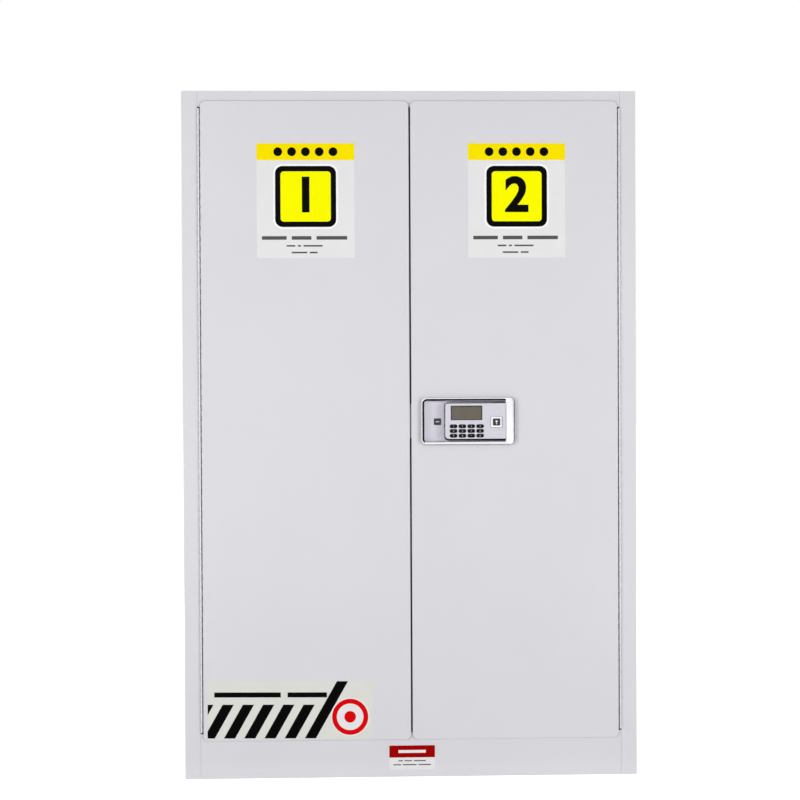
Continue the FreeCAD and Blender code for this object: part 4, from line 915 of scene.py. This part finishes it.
# Rows of bars: height above the floor, width, thickness, and where each bar starts and ends
SIGN_ROWS = (
    (1298 * MM, 204 * MM, 8.5 * MM, ((0, 0.29), (0.35, 0.58), (0.64, 1))),
    (1279 * MM, 86 * MM, 3.8 * MM, ((0, 0.24), (0.31, 0.4), (0.47, 1))),
    (1263 * MM, 62 * MM, 3.8 * MM, ((0, 0.6), (0.7, 1))),
)
SIGN_ROWS_SHIFT = 3 * MM


def ink(name, loops, finish, body, surface, layer=1):
    """Print on a label, a little ahead of its film."""
    front = surface - FILM - layer * INK
    return dress(name, flat(loops, front, INK), finish, body)


def film(name, loop, finish, body, surface):
    """A label's film, flat on a surface."""
    return dress(name, flat([loop], surface - FILM, FILM), finish, body)


def rules(x, z, width, height, shares):
    """Bars in a row where a line of words would be, each as long as its share of the width."""
    loops = []
    start = x - width / 2
    for near, far in shares:
        loops.append(box_loop((start + near * width, start + far * width), around(z, height / 2)))
    return loops


def door_signs():
    """Pale panel, yellow head and a framed yellow field with a plain number."""
    top = SIGN_LOW + SIGN_H
    for number, (name, x) in enumerate(SIGN_X.items(), 1):
        body = f"door_{name}"
        span = around(x, SIGN_W / 2)
        film(f"sign_{name}", box_loop(span, (SIGN_LOW, top)), "sign_white", body, DOOR_FRONT)
        ink(f"sign_{name}_head", [box_loop(span, (top - SIGN_BAND, top))], "sign_yellow", body, DOOR_FRONT)
        dots = [disc_loop(x + step * DOT_PITCH, top - SIGN_BAND / 2, DOT_R) for step in range(-2, 3)]
        ink(f"sign_{name}_dots", dots, "sign_black", body, DOOR_FRONT, 2)
        field, ring, rim = (box_loop(around(x, half), around(FRAME_MIDDLE, half), radius)
                            for half, radius in FRAME_OUTLINES)
        ink(f"sign_{name}_rim", [rim, ring], "sign_bright", body, DOOR_FRONT)
        ink(f"sign_{name}_frame", [ring, field], "sign_black", body, DOOR_FRONT)
        ink(f"sign_{name}_field", [field], "sign_lemon", body, DOOR_FRONT)
        front = DOOR_FRONT - FILM - 2 * INK
        mesh = lettered(str(number), x, FRAME_MIDDLE, NUMBER_H, front, INK, NUMBER_WEIGHT)
        dress(f"sign_{name}_number", mesh, "sign_black", body)
        lines = [loop for row in SIGN_ROWS for loop in rules(x - SIGN_ROWS_SHIFT, *row)]
        ink(f"sign_{name}_rules", lines, "sign_grey", body, DOOR_FRONT)


STRIP_X = (-490.6 * MM, -94.6 * MM)
STRIP_Z = (95.4 * MM, 232.8 * MM)
STRIP_TURN = math.radians(0.5)
STRIPE_W, STRIPE_PITCH, STRIPE_H = 26.6 * MM, 48.48 * MM, 81.1 * MM
STRIPE_SLANT = 0.557
STRIPE_X = -500 * MM
STRIP_BARS = (200 * MM, 270 * MM, 12 * MM, ((0, 0.59), (0.65, 1)))
STRIP_BARS_X = -340 * MM
DISC_PLACE = (-149 * MM, 147 * MM)
DISC_R = 47 * MM
RING_RADII = (43.5 * MM, 32 * MM, 14 * MM)


def right_of(edge, loop):
    """The part of an outline to the right of an edge."""
    kept = []
    for (x, z), (next_x, next_z) in zip(loop, loop[1:] + loop[:1]):
        if x >= edge:
            kept.append((x, z))
        if (x >= edge) != (next_x >= edge):
            share = (edge - x) / (next_x - x)
            kept.append((edge, z + share * (next_z - z)))
    return kept


def stripe(x, height):
    """Outline of a slanted stripe that stands on the strip's lower edge."""
    low = STRIP_Z[0]
    slant = STRIPE_SLANT * height
    return [(x, low), (x + STRIPE_W, low), (x + STRIPE_W + slant, low + height), (x + slant, low + height)]


def door_strip():
    """Pale strip with slanted black stripes, low on the left door and stuck on a little askew."""
    body = "door_left"
    pieces = [film("strip", box_loop(STRIP_X, STRIP_Z), "sign_pale", body, DOOR_FRONT)]
    short = [stripe(STRIPE_X + step * STRIPE_PITCH, STRIPE_H) for step in range(-1, 5)]
    stripes = [right_of(STRIP_X[0], outline) for outline in short]
    stripes.append(stripe(STRIPE_X + 5 * STRIPE_PITCH, STRIP_Z[1] - STRIP_Z[0]))
    stripes += rules(STRIP_BARS_X, *STRIP_BARS)
    pieces.append(ink("strip_stripes", stripes, "sign_black", body, DOOR_FRONT))
    disc = disc_loop(*DISC_PLACE, DISC_R)
    pieces.append(ink("strip_disc", [disc], "sign_white", body, DOOR_FRONT, 2))
    rings = [disc_loop(*DISC_PLACE, radius) for radius in RING_RADII]
    pieces.append(ink("strip_ring", rings, "sign_red", body, DOOR_FRONT, 3))
    corner = Vector((STRIP_X[1], 0, STRIP_Z[0]))
    turn = Matrix.Translation(corner) @ Matrix.Rotation(STRIP_TURN, 4, "Y") @ Matrix.Translation(-corner)
    for item in pieces:
        item.data.transform(turn)


PLINTH_X, PLINTH_HALF = 0.3 * MM, 55 * MM
PLINTH_LOW, PLINTH_MIDDLE, PLINTH_TOP = 18 * MM, 47 * MM, 76 * MM
PLINTH_BAR = (61.5 * MM, 66 * MM, 7 * MM, ((0, 1),))
PLINTH_ROWS = (
    (39 * MM, 66 * MM, 2.6 * MM, ((0, 0.16), (0.22, 0.5), (0.56, 1))),
    (29.5 * MM, 90 * MM, 2.6 * MM, ((0, 0.2), (0.25, 0.62), (0.67, 1))),
)


def plinth_sign():
    """White label with a red head on the plinth."""
    span = around(PLINTH_X, PLINTH_HALF)
    film("plinth_sign", box_loop(span, (PLINTH_LOW, PLINTH_TOP)), "sign_white", "root", PLINTH_FRONT)
    head = box_loop(span, (PLINTH_MIDDLE, PLINTH_TOP))
    ink("plinth_sign_head", [head], "sign_dark_red", "root", PLINTH_FRONT)
    ink("plinth_sign_bar", rules(PLINTH_X, *PLINTH_BAR), "sign_white", "root", PLINTH_FRONT, 2)
    lines = [loop for row in PLINTH_ROWS for loop in rules(PLINTH_X, *row)]
    ink("plinth_sign_rules", lines, "sign_grey", "root", PLINTH_FRONT)


# Studio

def seen_directly(tree):
    """One for the camera and for rays that metal and glass send, and zero for the light on the object."""
    path = tree.nodes.new("ShaderNodeLightPath")
    seen = path.outputs["Is Camera Ray"]
    for ray in ("Is Glossy Ray", "Is Transmission Ray"):
        either = tree.nodes.new("ShaderNodeMath")
        either.operation = "MAXIMUM"
        tree.links.new(seen, either.inputs[0])
        tree.links.new(path.outputs[ray], either.inputs[1])
        seen = either.outputs["Value"]
    return seen


AMBIENT = 0.405


def world():
    """White to the camera and to gloss, and dimmer as the light on the object."""
    SCENE.world = bpy.data.worlds.new("studio")
    SCENE.world.use_nodes = True
    tree = SCENE.world.node_tree
    ambient = tree.nodes["Background"]
    ambient.inputs["Color"].default_value = (1, 1, 1, 1)
    ambient.inputs["Strength"].default_value = AMBIENT
    white = tree.nodes.new("ShaderNodeBackground")
    white.inputs["Color"].default_value = (1, 1, 1, 1)
    white.inputs["Strength"].default_value = 1.0
    mix = tree.nodes.new("ShaderNodeMixShader")
    tree.links.new(seen_directly(tree), mix.inputs["Fac"])
    tree.links.new(ambient.outputs["Background"], mix.inputs[1])
    tree.links.new(white.outputs["Background"], mix.inputs[2])
    tree.links.new(mix.outputs["Shader"], tree.nodes["World Output"].inputs["Surface"])


FLOOR_LIFT = 0.85
FLOOR_HALF = 30.0


def floor():
    """Pale floor that keeps the shadow and is white elsewhere."""
    material = bpy.data.materials.new("floor")
    material.use_nodes = True
    tree = material.node_tree
    tree.nodes.remove(tree.nodes["Principled BSDF"])
    lit = tree.nodes.new("ShaderNodeBsdfDiffuse")
    lit.inputs["Color"].default_value = (0.93, 0.93, 0.93, 1)
    lift = tree.nodes.new("ShaderNodeMath")
    lift.operation = "MULTIPLY"
    lift.inputs[1].default_value = FLOOR_LIFT
    tree.links.new(seen_directly(tree), lift.inputs[0])
    glow = tree.nodes.new("ShaderNodeEmission")
    tree.links.new(lift.outputs["Value"], glow.inputs["Strength"])
    both = tree.nodes.new("ShaderNodeAddShader")
    tree.links.new(lit.outputs["BSDF"], both.inputs[0])
    tree.links.new(glow.outputs["Emission"], both.inputs[1])
    tree.links.new(both.outputs["Shader"], tree.nodes["Material Output"].inputs["Surface"])
    half = FLOOR_HALF
    corners = [(-half, -half, 0), (half, -half, 0), (half, half, 0), (-half, half, 0)]
    mesh = bpy.data.meshes.new("floor")
    mesh.from_pydata(corners, [], [(0, 1, 2, 3)])
    mesh.materials.append(material)
    item = bpy.data.objects.new("floor", mesh)
    SCENE.collection.objects.link(item)


def lamp(name, place, aim, size, watts):
    """A soft rectangular lamp that the camera and the gloss do not show."""
    light = bpy.data.lights.new(name, "AREA")
    light.shape = "RECTANGLE"
    light.size, light.size_y = size
    light.energy = watts
    item = bpy.data.objects.new(name, light)
    item.location = place
    item.rotation_euler = (Vector(aim) - Vector(place)).to_track_quat("-Z", "Y").to_euler()
    item.visible_camera = False
    item.visible_glossy = False
    SCENE.collection.objects.link(item)


def lamps():
    """Two alike at the sides of the front, a weak one above and one behind."""
    middle = (0.0, -0.1, 0.88)
    lamp("left", (-2.3, -2.7, 0.98), middle, (1.3, 1.8), 38)
    lamp("right", (2.3, -2.7, 0.98), middle, (1.3, 1.8), 38)
    lamp("top", (0.0, 0.2, 3.4), (0.0, 0.0, 1.0), (2.0, 1.2), 9)
    lamp("back", (0.4, 3.2, 1.6), middle, (2.4, 2.4), 36)


def card(name, corners):
    """A dark card that only metal and gloss show, as studios stand round plated parts."""
    material = bpy.data.materials.new(name)
    material.use_nodes = True
    shader = material.node_tree.nodes["Principled BSDF"]
    shader.inputs["Base Color"].default_value = (0.02, 0.02, 0.02, 1)
    shader.inputs["Roughness"].default_value = 1.0
    shader.inputs["Specular IOR Level"].default_value = 0.0
    mesh = bpy.data.meshes.new(name)
    mesh.from_pydata(corners, [], [(0, 1, 2, 3)])
    mesh.materials.append(material)
    item = bpy.data.objects.new(name, mesh)
    SCENE.collection.objects.link(item)
    item.visible_camera = False
    item.visible_diffuse = False
    item.visible_shadow = False
    item.visible_transmission = False


def cards():
    """Cards below, above and at the sides, with the middle of the front left open."""
    low, high = 0.02, 3.2
    card("card_floor", [(-2.9, -3.6, low), (2.9, -3.6, low), (2.9, -0.26, low), (-2.9, -0.26, low)])
    card("card_ceiling", [(-2.9, -2.2, high), (2.9, -2.2, high), (2.9, -0.6, high), (-2.9, -0.6, high)])
    places = {"near_right": ((1.0, -3.7), (2.9, -2.8)), "right": ((2.9, -2.8), (2.9, -0.5)),
              "left": ((-2.9, -2.8), (-2.9, -0.5))}
    for name, (near, far) in places.items():
        card(f"card_{name}", [(*near, low), (*far, low), (*far, high), (*near, high)])


CAMERA_PLACE = (-0.148, -4.2222, 0.959)
CAMERA_YAW = math.radians(1.76)
CAMERA_PITCH = math.radians(0.72)
CAMERA_ROLL = math.radians(-0.26)
FOCAL_PX = 1665
FRAME_PX = 800
SENSOR_MM = 36


def camera():
    """The photo's viewpoint: yaw towards +X, pitch downwards, then roll about the view."""
    data = bpy.data.cameras.new("camera")
    data.sensor_width = SENSOR_MM
    data.sensor_height = SENSOR_MM
    data.sensor_fit = "HORIZONTAL"
    data.lens = FOCAL_PX / FRAME_PX * SENSOR_MM
    flat_share = math.cos(CAMERA_PITCH)
    ahead = Vector((math.sin(CAMERA_YAW) * flat_share, math.cos(CAMERA_YAW) * flat_share,
                    -math.sin(CAMERA_PITCH)))
    level = Vector((math.cos(CAMERA_YAW), -math.sin(CAMERA_YAW), 0))
    above = level.cross(ahead)
    right = level * math.cos(CAMERA_ROLL) + above * math.sin(CAMERA_ROLL)
    up = above * math.cos(CAMERA_ROLL) - level * math.sin(CAMERA_ROLL)
    item = bpy.data.objects.new("camera", data)
    turn = Matrix((right, up, -ahead)).transposed().to_4x4()
    item.matrix_world = Matrix.Translation(CAMERA_PLACE) @ turn
    SCENE.collection.objects.link(item)
    SCENE.camera = item


finish_solids()
hinges()
bezel()
badge()
housing()
display()
keys()
key_cover()
door_signs()
door_strip()
plinth_sign()
world()
floor()
lamps()
cards()
camera()

SCENE.view_settings.view_transform = "Standard"
